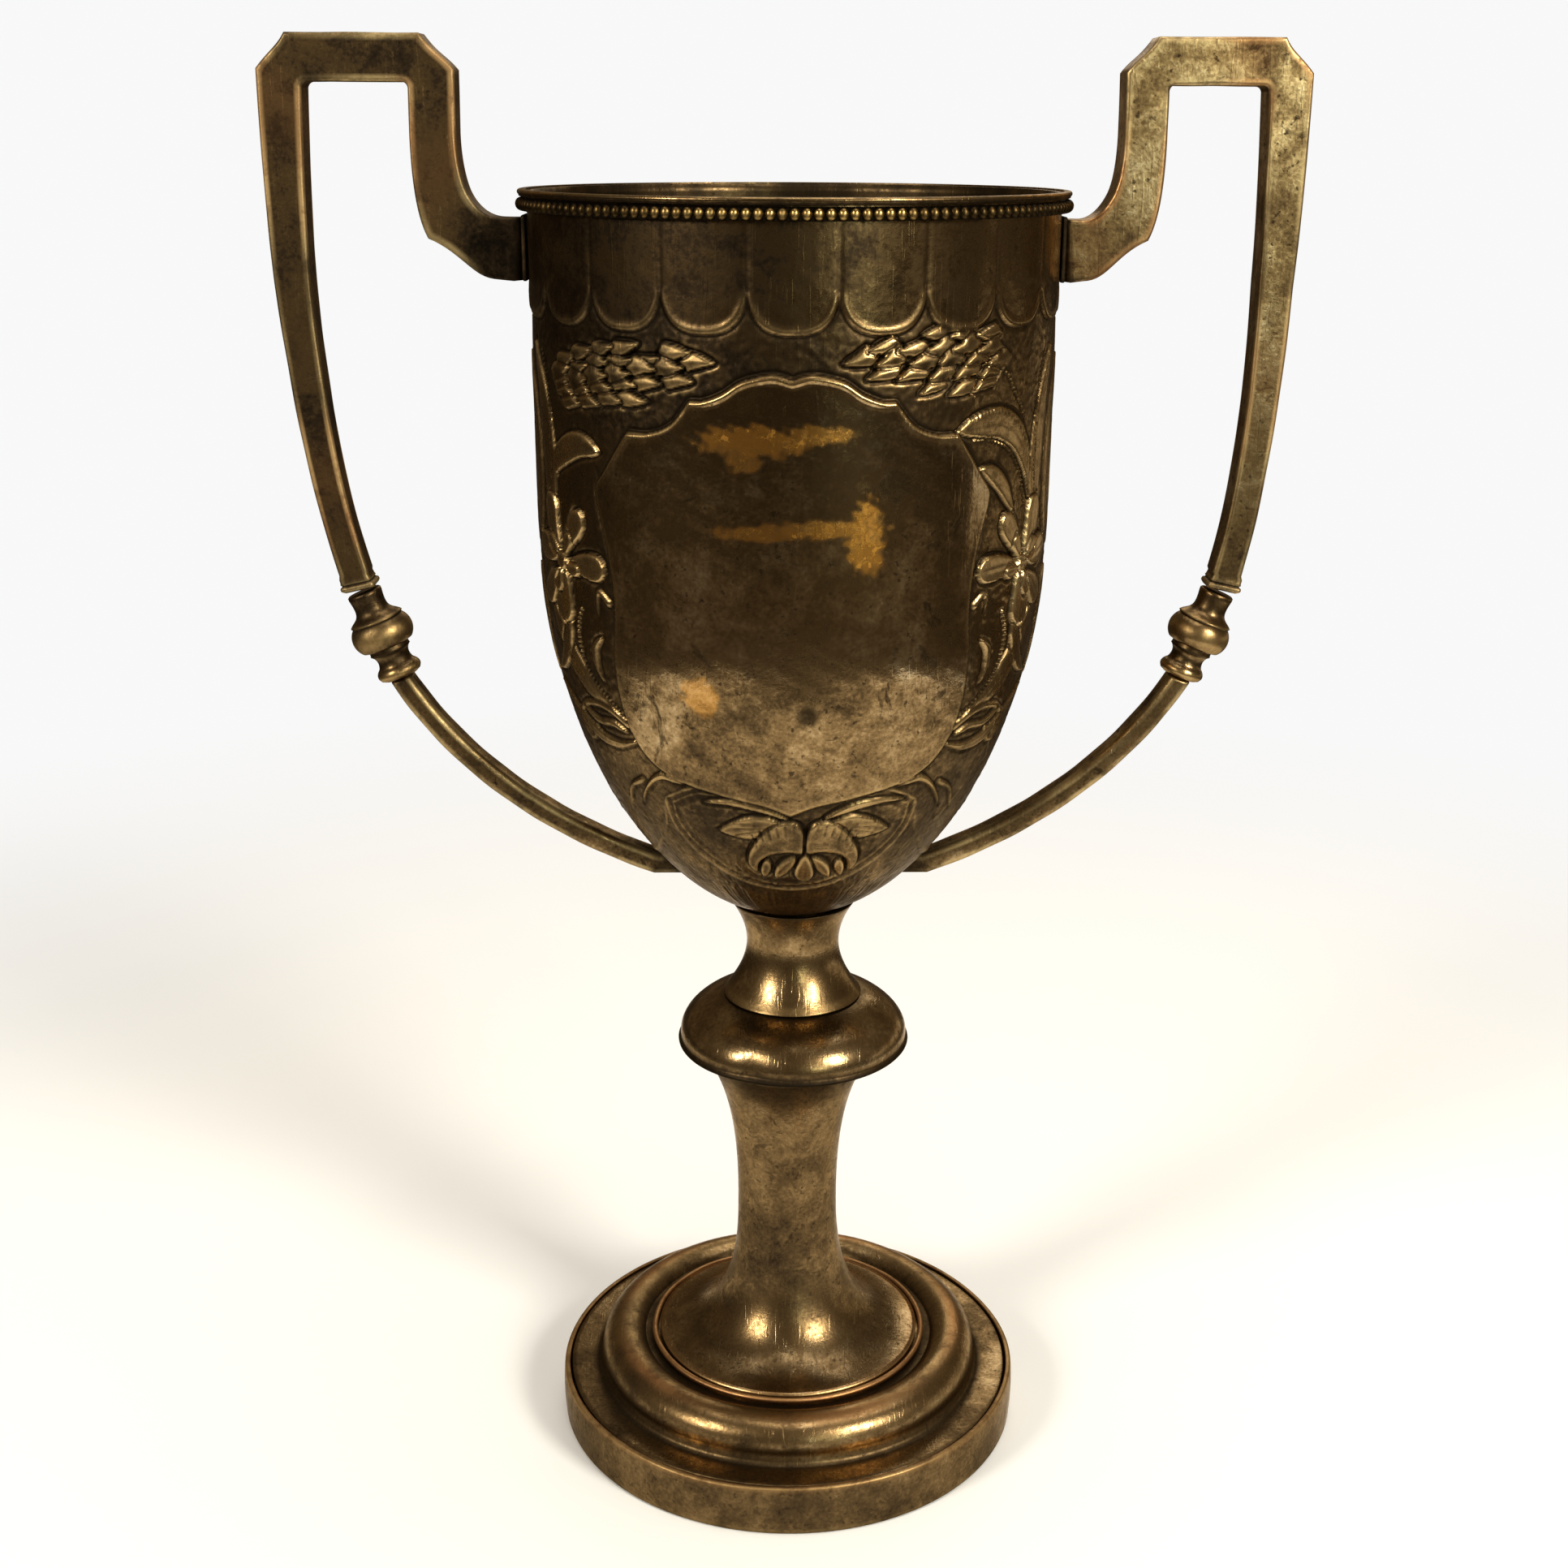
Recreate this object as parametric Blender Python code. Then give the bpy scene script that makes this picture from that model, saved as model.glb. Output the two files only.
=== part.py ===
"""Two-handled presentation cup on a knopped stem and a stepped round foot.

Metres, +Z up, origin on the table under the middle of the foot. The handles stand to the
left (-X) and right (+X); the side that carries the shield faces -Y. All spun pieces share
the vertical axis. Pieces that touch on the real cup are modelled with a small gap.
"""
import math

import bmesh
import bpy
from mathutils import Matrix, Vector

MM = 0.001
GAP = 0.3 * MM                  # clearance left between neighbouring solids

# Cup
BOWL_RADIUS = 50.5 * MM         # outside of the straight upper wall
BOWL_WALL = 1.2 * MM
BOWL_SHOULDER_Z = 203.0 * MM    # the wall turns from straight to elliptical here
BOWL_DROP = 83.5 * MM           # height of the full ellipse below the shoulder
BOWL_FOOT_RADIUS = 13.2 * MM    # flat underneath that sits on the collar
BOWL_BASE_Z = 121.9 * MM
MOUTH_Z = 264.9 * MM

# Mouth mouldings
LIP_RADIUS = 52.3 * MM
LIP_TOP_Z = 265.2 * MM
BEAD_RADIUS = 0.95 * MM
BEAD_CREST_RADIUS = 52.7 * MM   # outside of the beads, measured from the cup's axis
BEAD_Z = 262.7 * MM

# Stem, from the cup down
COLLAR_TOP_Z = BOWL_BASE_Z - GAP
COLLAR_WAIST_RADIUS = 9.75 * MM
COLLAR_WAIST_Z = 112.0 * MM
COLLAR_SKIRT_RADIUS = 14.8 * MM
COLLAR_SKIRT_Z = 100.2 * MM
KNOP_TOP_Z = COLLAR_SKIRT_Z - GAP
KNOP_RADIUS = 24.4 * MM
KNOP_WIDEST_Z = 89.6 * MM
KNOP_BASE_Z = 86.2 * MM
COLUMN_TOP_RADIUS = 19.2 * MM
COLUMN_TOP_Z = KNOP_BASE_Z - GAP
COLUMN_WAIST_RADIUS = 10.9 * MM
COLUMN_WAIST_Z = 50.6 * MM
DISC_RADIUS = 29.0 * MM
DISC_Z = 18.6 * MM
SHEET = 1.2 * MM                # gauge of the spun stem and foot pieces
EDGE_WIRE_RADIUS = 0.7 * MM

# Foot
SEAT_Z = 17.0 * MM
TORUS_CENTRE_RADIUS = 36.6 * MM
TORUS_CENTRE_Z = 13.8 * MM
TORUS_SECTION = 5.4 * MM
FLANGE_RADIUS = 49.1 * MM
FLANGE_Z = 10.7 * MM
FOOT_RADIUS = 50.6 * MM
BAND_TOP_Z = 10.95 * MM
BAND_WALL = 1.2 * MM
BAND_LIP_RADIUS = 46.6 * MM     # inner edge of the turned-in lip that the cup rests on

# Hidden fastening: a rod from a boss under the bowl to a nut under the foot
ROD_RADIUS = 2.4 * MM
ROD_HOLE_RADIUS = 2.7 * MM
ROD_LOW_Z = 6.0 * MM
ROD_HIGH_Z = 119.0 * MM
BOSS_RADIUS = 7.5 * MM
BOSS_LOW_Z = 113.0 * MM
WASHER_RADIUS = 9.0 * MM
WASHER_THICKNESS = 1.3 * MM
NUT_CORNER_RADIUS = 4.62 * MM
NUT_HEIGHT = 3.7 * MM

# Handles
HANDLE_TOP_Z = 292.5 * MM
STRAP_DEPTH = 8.0 * MM          # front to back, at the top
STRAP_FOOT_DEPTH = 6.2 * MM     # front to back, where the outer leg meets the knop
STRAP_CHAMFER = 0.7 * MM
STRAP_FOOT_Z = 188.0 * MM
HANDLE_SPREAD = 1.55 * MM       # the left strap leans out and the right one in by this much
PAD_THICKNESS = 0.8 * MM
TAIL_WIDTH = 4.6 * MM
TAIL_DEPTH = 6.2 * MM
TAIL_STANDOFF = 0.7 * MM        # the tail's flat-cut end against the round bowl
BALUSTER_TILT = math.radians(21.1)   # lean of the handle knop's axis, top outwards
BALUSTER_TOP = Vector((86.05, 0.0, 187.3)) * MM
BALUSTER_LENGTH = 18.7 * MM

# Facets
ROUND = 48                      # bowl, mouth and foot
STEM_ROUND = 36
SMALL_ROUND = 16
SMOOTH_ANGLE = math.radians(40)

SILVER = ((0.36, 0.29, 0.20), 0.95, 0.36)
SILVER_DARK = ((0.24, 0.19, 0.13), 0.95, 0.42)
BRASS = ((0.52, 0.38, 0.16), 0.95, 0.32)
COPPER = ((0.45, 0.24, 0.12), 0.95, 0.35)
STEEL = ((0.35, 0.35, 0.36), 0.9, 0.45)


# ---------------------------------------------------------------- curves and meshes

def bezier(p0, p1, p2, p3, steps, first=True):
    """Points of a cubic curve, in the units given."""
    points = []
    for i in range(0 if first else 1, steps + 1):
        t = i / steps
        a, b, c, d = (1 - t) ** 3, 3 * t * (1 - t) ** 2, 3 * t * t * (1 - t), t ** 3
        points.append(tuple(a * w + b * x + c * y + d * z for w, x, y, z in zip(p0, p1, p2, p3)))
    return points


def arc(centre, radius, start_deg, end_deg, steps):
    """Points of a circular arc."""
    points = []
    for i in range(steps + 1):
        angle = math.radians(start_deg + (end_deg - start_deg) * i / steps)
        points.append((centre[0] + radius * math.cos(angle), centre[1] + radius * math.sin(angle)))
    return points


def sheet(profile, gauge):
    """Closed section of a spun sheet: the outside profile (r, z) and its inner parallel.

    The inner side lies to the right of the profile's direction of travel and its ends are
    cut square to the axis.
    """
    low = min(z for _, z in profile)
    high = max(z for _, z in profile)
    inner = []
    for i, (r, z) in enumerate(profile):
        before = profile[max(i - 1, 0)]
        after = profile[min(i + 1, len(profile) - 1)]
        dr, dz = after[0] - before[0], after[1] - before[1]
        length = math.hypot(dr, dz)
        inner_z = min(max(z - gauge * dr / length, low - gauge), high)
        inner.append((max(r + gauge * dz / length, 0.0), inner_z))
    return list(profile) + inner[::-1]


def material(name, look):
    colour, metallic, roughness = look
    mat = bpy.data.materials.new(name)
    mat.use_nodes = True
    shader = mat.node_tree.nodes["Principled BSDF"]
    shader.inputs["Base Color"].default_value = (*colour, 1.0)
    shader.inputs["Metallic"].default_value = metallic
    shader.inputs["Roughness"].default_value = roughness
    mat.diffuse_color = (*colour, 1.0)
    return mat


def add_object(name, verts, faces, look):
    """Link a closed mesh as one named sub-part, normals outwards and smooth-shaded."""
    mesh = bpy.data.meshes.new(name)
    mesh.from_pydata([tuple(v) for v in verts], [], faces)
    bm = bmesh.new()
    bm.from_mesh(mesh)
    bmesh.ops.recalc_face_normals(bm, faces=bm.faces)
    bm.to_mesh(mesh)
    bm.free()
    obj = bpy.data.objects.new(name, mesh)
    bpy.context.collection.objects.link(obj)
    mesh.materials.append(material(name, look))
    mesh.shade_smooth()
    mesh.set_sharp_from_angle(angle=SMOOTH_ANGLE)
    return obj


def lathe(name, section, look, facets, placed=None):
    """Turn a section (r, z) about the axis. A section that starts and ends on the axis
    gives a solid piece; any other section is a closed loop and gives a ring."""
    verts = []
    rows = []
    for r, z in section:
        if r < 1e-7:
            rows.append([len(verts)] * facets)
            verts.append(Vector((0.0, 0.0, z)))
            continue
        rows.append(list(range(len(verts), len(verts) + facets)))
        for k in range(facets):
            angle = 2 * math.pi * k / facets
            verts.append(Vector((r * math.cos(angle), r * math.sin(angle), z)))
    solid = section[0][0] < 1e-7 and section[-1][0] < 1e-7
    pairs = list(zip(rows, rows[1:])) if solid else list(zip(rows, rows[1:] + rows[:1]))
    faces = []
    for upper, lower in pairs:
        for k in range(facets):
            n = (k + 1) % facets
            corners = [upper[k], upper[n], lower[n], lower[k]]
            faces.append([c for i, c in enumerate(corners) if c != corners[i - 1]])
    if placed:
        verts = [placed @ v for v in verts]
    return add_object(name, verts, faces, look)


def loft(name, rings, look):
    """Skin a run of equal rings and close both ends."""
    count = len(rings[0])
    verts = [v for ring in rings for v in ring]
    faces = []
    for i in range(len(rings) - 1):
        for k in range(count):
            n = (k + 1) % count
            faces.append([i * count + k, i * count + n, (i + 1) * count + n, (i + 1) * count + k])
    faces.append(list(range(count)))
    faces.append(list(range(len(verts) - count, len(verts))))
    return add_object(name, verts, faces, look)


# ---------------------------------------------------------------- cup and its mouth

def bowl_radius(z):
    """Outside radius of the bowl at a height."""
    if z >= BOWL_SHOULDER_Z:
        return BOWL_RADIUS
    fall = min((BOWL_SHOULDER_Z - z) / BOWL_DROP, 1.0)
    return BOWL_RADIUS * math.sqrt(1.0 - fall * fall)


def build_bowl():
    """Raised bowl, open at the top, with a flat underneath. The walls are one sheet."""
    start = math.acos(BOWL_FOOT_RADIUS / BOWL_RADIUS)
    outside = [(0.0, BOWL_BASE_Z), (BOWL_FOOT_RADIUS, BOWL_BASE_Z)]
    steps = 12
    for i in range(steps + 1):
        angle = start * (1 - i / steps)
        z = BOWL_SHOULDER_Z - BOWL_DROP * math.sin(angle)
        outside.append((BOWL_RADIUS * math.cos(angle), z))
    outside.append((BOWL_RADIUS, MOUTH_Z))
    inside = []
    inner_radius = BOWL_RADIUS - BOWL_WALL
    inner_drop = BOWL_DROP - BOWL_WALL
    inside.append((inner_radius, MOUTH_Z))
    for i in range(steps + 1):
        angle = math.pi / 2 * i / steps
        z = BOWL_SHOULDER_Z - inner_drop * math.sin(angle)
        inside.append((inner_radius * math.cos(angle), max(z, BOWL_BASE_Z + 2 * BOWL_WALL)))
    inside = [p for i, p in enumerate(inside) if i == 0 or p != inside[i - 1]]
    inside[-1] = (0.0, inside[-1][1])
    lathe("cup_bowl", outside + inside, SILVER_DARK, ROUND)


def build_mouth():
    """Rounded lip, and under it the wire that carries the beads, round the mouth."""
    inner = BOWL_RADIUS + GAP
    low = BEAD_Z + BEAD_RADIUS + GAP
    edge = 0.5 * MM
    lip = [(inner, low), (LIP_RADIUS - edge / 2, low)]
    lip += arc((LIP_RADIUS - edge, LIP_TOP_Z - edge), edge, -10, 90, 3)
    lip.append((inner, LIP_TOP_Z))
    lathe("rim_lip_ring", lip, SILVER, ROUND)

    foot = BEAD_Z - 1.4 * BEAD_RADIUS
    centre = BEAD_CREST_RADIUS - BEAD_RADIUS
    wire = [(inner, foot), (centre, foot)]
    wire += arc((centre, BEAD_Z), BEAD_RADIUS, -70, 90, 4)
    wire.append((inner, BEAD_Z + BEAD_RADIUS))
    lathe("rim_bead_wire", wire, BRASS, ROUND)


# ---------------------------------------------------------------- stem and foot

def build_stem():
    """Collar under the bowl, hollow knop, and trumpet-shaped column with its disc."""
    collar = bezier((13.2 * MM, COLLAR_TOP_Z), (11.0 * MM, 118.5 * MM),
                    (COLLAR_WAIST_RADIUS, 115.0 * MM), (COLLAR_WAIST_RADIUS, COLLAR_WAIST_Z), 5)
    collar += bezier((COLLAR_WAIST_RADIUS, COLLAR_WAIST_Z), (COLLAR_WAIST_RADIUS, 108.0 * MM),
                     (11.8 * MM, 103.8 * MM), (COLLAR_SKIRT_RADIUS, COLLAR_SKIRT_Z), 5, False)
    bore = [(r - SHEET, z) for r, z in collar]
    lathe("stem_collar", collar + bore[::-1], SILVER, STEM_ROUND)

    knop = [(11.5 * MM, KNOP_TOP_Z)]
    knop += bezier((14.9 * MM, KNOP_TOP_Z), (19.5 * MM, 98.2 * MM),
                   (23.9 * MM, 94.2 * MM), (KNOP_RADIUS, KNOP_WIDEST_Z), 7)
    knop += bezier((KNOP_RADIUS, KNOP_WIDEST_Z), (24.6 * MM, 87.2 * MM),
                   (22.0 * MM, KNOP_BASE_Z), (19.0 * MM, KNOP_BASE_Z), 4, False)
    knop.append((17.4 * MM, KNOP_BASE_Z))
    inner = sheet(knop, SHEET)[len(knop):]
    inner = [(r, min(max(z, KNOP_BASE_Z + SHEET), KNOP_TOP_Z - SHEET)) for r, z in inner]
    lathe("stem_knop", knop + inner, SILVER, STEM_ROUND)

    column = bezier((COLUMN_TOP_RADIUS, COLUMN_TOP_Z), (14.2 * MM, 79.6 * MM),
                    (10.7 * MM, 71.5 * MM), (COLUMN_WAIST_RADIUS, COLUMN_WAIST_Z), 7)
    column += bezier((COLUMN_WAIST_RADIUS, COLUMN_WAIST_Z), (10.9 * MM, 33.0 * MM),
                     (14.5 * MM, 20.5 * MM), (DISC_RADIUS, DISC_Z), 9, False)
    section = sheet(column, SHEET)
    top = section[-1]
    section[-1] = (top[0] - 0.3 * MM, COLUMN_TOP_Z)
    lathe("stem_column", section, SILVER, STEM_ROUND)

    wire = arc((DISC_RADIUS + GAP + EDGE_WIRE_RADIUS, SEAT_Z + GAP + EDGE_WIRE_RADIUS),
               EDGE_WIRE_RADIUS, 0, 360, 6)[:-1]
    lathe("column_edge_wire", wire, COPPER, ROUND)


def build_foot():
    """Spun stepped foot and the upright band that it stands on."""
    dome = [(4.0 * MM, SEAT_Z), (DISC_RADIUS + 2 * MM, SEAT_Z)]
    dome += arc((TORUS_CENTRE_RADIUS, TORUS_CENTRE_Z), TORUS_SECTION, 143.6, -10, 8)
    dome += arc((43.5 * MM, FLANGE_Z + 1.3 * MM), 1.3 * MM, 200, 270, 3)
    dome.append((FLANGE_RADIUS, FLANGE_Z))
    lathe("foot_dome", sheet(dome, SHEET), SILVER, ROUND)

    inner = FOOT_RADIUS - BAND_WALL
    band = [(BAND_LIP_RADIUS, 0.0), (FOOT_RADIUS - 0.2 * MM, 0.0)]
    band += bezier((FOOT_RADIUS, 0.4 * MM), (FOOT_RADIUS + 0.3 * MM, 4.0 * MM),
                   (FOOT_RADIUS + 0.3 * MM, 8.0 * MM), (FOOT_RADIUS, BAND_TOP_Z - 0.3 * MM), 4)
    band.append((FOOT_RADIUS - 0.3 * MM, BAND_TOP_Z))
    band += [(inner, BAND_TOP_Z), (inner, BAND_WALL), (BAND_LIP_RADIUS, BAND_WALL)]
    lathe("foot_band", band, SILVER, ROUND)


def build_fastening():
    """Boss under the bowl, tie rod, and the washer and nut under the foot."""
    top = BOWL_BASE_Z - GAP
    boss = [(0.0, top), (BOSS_RADIUS, top), (BOSS_RADIUS, BOSS_LOW_Z),
            (ROD_HOLE_RADIUS, BOSS_LOW_Z), (ROD_HOLE_RADIUS, ROD_HIGH_Z + GAP),
            (0.0, ROD_HIGH_Z + GAP)]
    lathe("bowl_boss", boss, BRASS, SMALL_ROUND)
    rod = [(0.0, ROD_HIGH_Z), (ROD_RADIUS, ROD_HIGH_Z), (ROD_RADIUS, ROD_LOW_Z), (0.0, ROD_LOW_Z)]
    lathe("tie_rod", rod, STEEL, SMALL_ROUND)
    top = SEAT_Z - SHEET - GAP
    low = top - WASHER_THICKNESS
    washer = [(ROD_HOLE_RADIUS, top), (WASHER_RADIUS, top), (WASHER_RADIUS, low),
              (ROD_HOLE_RADIUS, low)]
    lathe("tie_washer", washer, STEEL, SMALL_ROUND)
    top = low - GAP
    bore = ROD_HOLE_RADIUS / math.cos(math.pi / 6)     # six-sided, clear of the round rod
    nut = [(bore, top), (NUT_CORNER_RADIUS, top),
           (NUT_CORNER_RADIUS, top - NUT_HEIGHT), (bore, top - NUT_HEIGHT)]
    lathe("tie_nut", nut, STEEL, 6)


# ---------------------------------------------------------------- handles

def strap_outline():
    """Matching points along both edges of the strap (x, z), from the cup to the knop.

    The outer edge runs over the top of the strap, the inner edge round its opening.
    """
    outer = [(51.9, 259.8)]
    inner = [(51.9, 249.0)]
    # arm from the cup, then the bend up into the inner leg
    outer += bezier((55.0, 259.8), (57.6, 259.8), (59.6, 261.8), (60.9, 264.6), 5)
    inner += bezier((56.6, 249.4), (60.5, 249.9), (62.5, 254.4), (68.2, 256.6), 5)
    outer += bezier((60.9, 264.6), (61.9, 266.9), (62.4, 270.5), (62.4, 275.0), 4, False)
    inner += bezier((68.2, 256.6), (69.9, 259.5), (70.8, 265.0), (70.8, 274.0), 4, False)
    # notched top corner on the cup side
    outer += bezier((62.2, 286.2), (64.0, 288.6), (65.6, 288.9), (68.2, 292.5), 4)
    inner += arc((71.8, 282.8), 1.2, 180, 90, 4)
    # notched top corner on the far side
    outer += bezier((92.3, 292.5), (93.6, 290.0), (95.4, 289.2), (97.85, 286.2), 4)
    inner += arc((88.6, 282.8), 1.2, 90, 0, 4)
    # bowed outer leg
    outer += bezier((97.85, 286.2), (98.3, 252.0), (96.4, 213.0), (88.9, 186.4), 12, False)
    inner += bezier((89.8, 282.8), (91.3, 250.0), (91.0, 214.0), (83.4, 188.6), 12, False)
    return outer, inner


def strap_depth(z):
    """Front-to-back size: full above the cup, tapering down the outer leg."""
    share = (z - STRAP_FOOT_Z) / (HANDLE_TOP_Z - STRAP_FOOT_Z)
    return STRAP_FOOT_DEPTH + (STRAP_DEPTH - STRAP_FOOT_DEPTH) * min(max(share, 0.0), 1.0)


def lean(x, z, spread):
    """Shift outwards: it grows away from the cup wall, and up the outer leg from the knop."""
    across = math.sqrt(min(max((x - 52 * MM) / (42 * MM), 0.0), 1.0))
    up = min(max((z - STRAP_FOOT_Z) / (60 * MM), 0.0), 1.0)
    return spread * across * (up if x > 78 * MM else 1.0)


def bar_section(outer, inner, depth, chamfer):
    """Chamfered rectangular ring between an outer and an inner edge point."""
    across = (inner - outer).normalized()
    half = Vector((0.0, depth / 2, 0.0))
    cut = Vector((0.0, chamfer, 0.0))
    return [outer + across * chamfer + half, inner - across * chamfer + half,
            inner + half - cut, inner - half + cut,
            inner - across * chamfer - half, outer + across * chamfer - half,
            outer - half + cut, outer + half - cut]


def build_strap(name, side, spread):
    """Square-section strap: arm, inner leg, notched top, bowed outer leg, end ridge."""
    outer, inner = strap_outline()
    rings = []
    for i, ((ox, oz), (ix, iz)) in enumerate(zip(outer, inner)):
        middle = (oz + iz) / 2 * MM
        depth = strap_depth(middle) if ox > 78 else STRAP_DEPTH
        a = Vector((side * (ox * MM + lean(ox * MM, oz * MM, spread)), 0.0, oz * MM))
        b = Vector((side * (ix * MM + lean(ix * MM, iz * MM, spread)), 0.0, iz * MM))
        rings.append(bar_section(a, b, depth, STRAP_CHAMFER))
    down = Vector((-side * math.sin(BALUSTER_TILT), 0.0, -math.cos(BALUSTER_TILT)))
    last = rings.pop()
    centre = sum(last, Vector()) / len(last)
    for back, swell in ((1.7, 1.0), (1.4, 1.13), (0.5, 1.13), (0.2, 1.0)):
        rings.append([centre + (p - centre) * swell - down * back * MM for p in last])
    loft(name, rings, SILVER)


def build_baluster(name, side):
    """Turned knop between the strap and the tail: neck, ball, neck and collar."""
    section = [(0.0, 0.0), (3.5, 0.0)]
    section += bezier((3.5, 0.8), (3.3, 2.0), (3.1, 3.4), (3.5, 4.2), 4)
    section += bezier((3.5, 4.2), (3.9, 5.1), (5.0, 5.4), (5.5, 6.2), 3, False)
    section += arc((2.6, 9.1), 3.75, 48, -62, 8)[1:]
    section += bezier((4.0, 12.9), (3.2, 13.8), (3.2, 15.0), (3.7, 15.9), 3)
    section += [(4.3, 16.9), (4.55, 17.6), (4.2, 18.3)]
    section += [(3.4, BALUSTER_LENGTH / MM), (0.0, BALUSTER_LENGTH / MM)]
    section = tidy_ball(section)
    turn = Matrix.Rotation(side * BALUSTER_TILT, 4, "Y")
    top = Vector((side * BALUSTER_TOP.x, 0.0, BALUSTER_TOP.z))
    placed = Matrix.Translation(top) @ turn
    lathe(name, [(r * MM, -t * MM) for r, t in section], SILVER, SMALL_ROUND, placed)


def tidy_ball(section):
    """Keep the run down the axis in order, so that the turned outline never folds back."""
    kept = [section[0]]
    for point in section[1:]:
        if point[1] >= kept[-1][1] - 1e-9:
            kept.append(point)
    return kept


def build_tail(name, side):
    """Rounded bar that curves from the baluster to the bowl.

    Its upper end is cut square to the baluster and its lower end to the bowl's wall.
    """
    down = Vector((-math.sin(BALUSTER_TILT), 0.0, -math.cos(BALUSTER_TILT)))
    start = BALUSTER_TOP + down * (BALUSTER_LENGTH + GAP)
    path = bezier((start.x / MM, start.z / MM), (67.2, 149.6), (47.5, 136.5), (26.3, 129.1), 16)
    path = [Vector((x * MM, 0.0, z * MM)) for x, z in path]
    rings = []
    corners = 12
    for i, point in enumerate(path):
        along = (path[min(i + 1, len(path) - 1)] - path[max(i - 1, 0)]).normalized()
        if i == 0:
            along = down
        across = Vector((along.z, 0.0, -along.x))
        ring = []
        for k in range(corners):
            angle = 2 * math.pi * (k + 0.5) / corners
            flat = [math.copysign(abs(f) ** 0.55, f) for f in (math.cos(angle), math.sin(angle))]
            ring.append(point + across * flat[0] * TAIL_WIDTH / 2
                        + Vector((0.0, flat[1] * TAIL_DEPTH / 2, 0.0)))
        rings.append(ring)
    rings = [ring for ring in rings if clear_of_bowl(ring, 0.6 * MM)]
    rings.append([slide_to_bowl(p) for p in rings[-1]])
    rings = [[Vector((side * p.x, p.y, p.z)) for p in ring] for ring in rings]
    loft(name, rings, SILVER)


def wall_distance(point):
    return math.hypot(point.x, point.y) - bowl_radius(point.z) - TAIL_STANDOFF


def clear_of_bowl(ring, margin):
    return min(wall_distance(p) for p in ring) > margin


def slide_to_bowl(point):
    """Move a point level towards the axis until it stands just off the bowl."""
    inwards = Vector((-1.0, 0.0, 0.0))
    near, far = 0.0, 30 * MM
    for _ in range(40):
        middle = (near + far) / 2
        if wall_distance(point + inwards * middle) > 0:
            near = middle
        else:
            far = middle
    return point + inwards * near


def build_pad(name, side):
    """Thin plate between the arm of the strap and the wall of the cup."""
    inner = BOWL_RADIUS + GAP
    outer = inner + PAD_THICKNESS
    half_width, low, high = 4.6 * MM, 248.3 * MM, 260.4 * MM
    cut = 0.5 * MM
    outline = [(-half_width, low + cut), (-half_width + cut, low), (half_width - cut, low),
               (half_width, low + cut), (half_width, high - cut), (half_width - cut, high),
               (-half_width + cut, high), (-half_width, high - cut)]
    rings = [[Vector((side * x, y, z)) for y, z in outline] for x in (inner, outer)]
    loft(name, rings, BRASS)


def build_handles():
    for label, side, spread in (("left", -1, HANDLE_SPREAD), ("right", 1, -HANDLE_SPREAD)):
        build_pad(f"handle_{label}_pad", side)
        build_strap(f"handle_{label}_strap", side, spread)
        build_baluster(f"handle_{label}_knop", side)
        build_tail(f"handle_{label}_tail", side)


def main():
    for obj in list(bpy.data.objects):
        bpy.data.objects.remove(obj, do_unlink=True)
    build_bowl()
    build_mouth()
    build_stem()
    build_foot()
    build_fastening()
    build_handles()


main()
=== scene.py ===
"""Finished looks of a two-handled presentation cup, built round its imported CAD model.

Lengths are in millimetres until a mesh is made. Places on the chased bowl are given as
(a, z): a is the angle in degrees from the middle of the shield, z the height.
"""
import math

import bpy
import numpy as np
from mathutils import Matrix, Vector


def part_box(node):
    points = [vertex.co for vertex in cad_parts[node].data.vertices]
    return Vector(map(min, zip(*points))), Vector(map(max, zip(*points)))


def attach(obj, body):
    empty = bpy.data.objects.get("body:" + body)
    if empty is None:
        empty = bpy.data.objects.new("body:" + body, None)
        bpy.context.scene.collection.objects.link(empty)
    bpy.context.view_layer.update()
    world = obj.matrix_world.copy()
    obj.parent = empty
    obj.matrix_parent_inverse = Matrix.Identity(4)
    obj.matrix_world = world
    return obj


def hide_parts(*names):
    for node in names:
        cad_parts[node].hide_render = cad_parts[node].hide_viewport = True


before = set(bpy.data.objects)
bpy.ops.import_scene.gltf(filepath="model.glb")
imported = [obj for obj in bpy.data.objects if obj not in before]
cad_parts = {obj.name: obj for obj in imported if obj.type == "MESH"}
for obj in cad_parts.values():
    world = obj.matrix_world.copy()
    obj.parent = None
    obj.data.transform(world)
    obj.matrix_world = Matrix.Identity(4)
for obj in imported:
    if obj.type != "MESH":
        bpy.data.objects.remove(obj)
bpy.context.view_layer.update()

MM = 0.001


def turned_size(node):
    """Outside radius, lowest and highest point of a turned CAD node."""
    low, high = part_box(node)
    return high.x / MM, low.z / MM, high.z / MM


BOWL_RADIUS, BOWL_BASE, MOUTH = turned_size("cup_bowl")
BOWL_WALL = 1.2
SHOULDER = 203.0                # the wall is straight above this height
BOWL_DROP = 83.5                # height of the full ellipse below the shoulder
SHEET = 1.2                     # gauge of the spun stem and foot
PATTERN_TURN = -1.4             # degrees by which the shield's middle is turned from -Y

# Chased relief: its grid and its levels above the plain wall
COLUMNS = 1020
RELIEF_TOP = 254.0
RELIEF_LOW = 131.4
RELIEF_STEP = 0.31
GROUND = -0.42
QUARTER = COLUMNS // 4


# ---------------------------------------------------------------- numbers and curves

def smoothstep(x):
    x = np.clip(x, 0.0, 1.0)
    return x * x * (3.0 - 2.0 * x)


def bell(x, width):
    return np.exp(-(x / width) ** 2)


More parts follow.
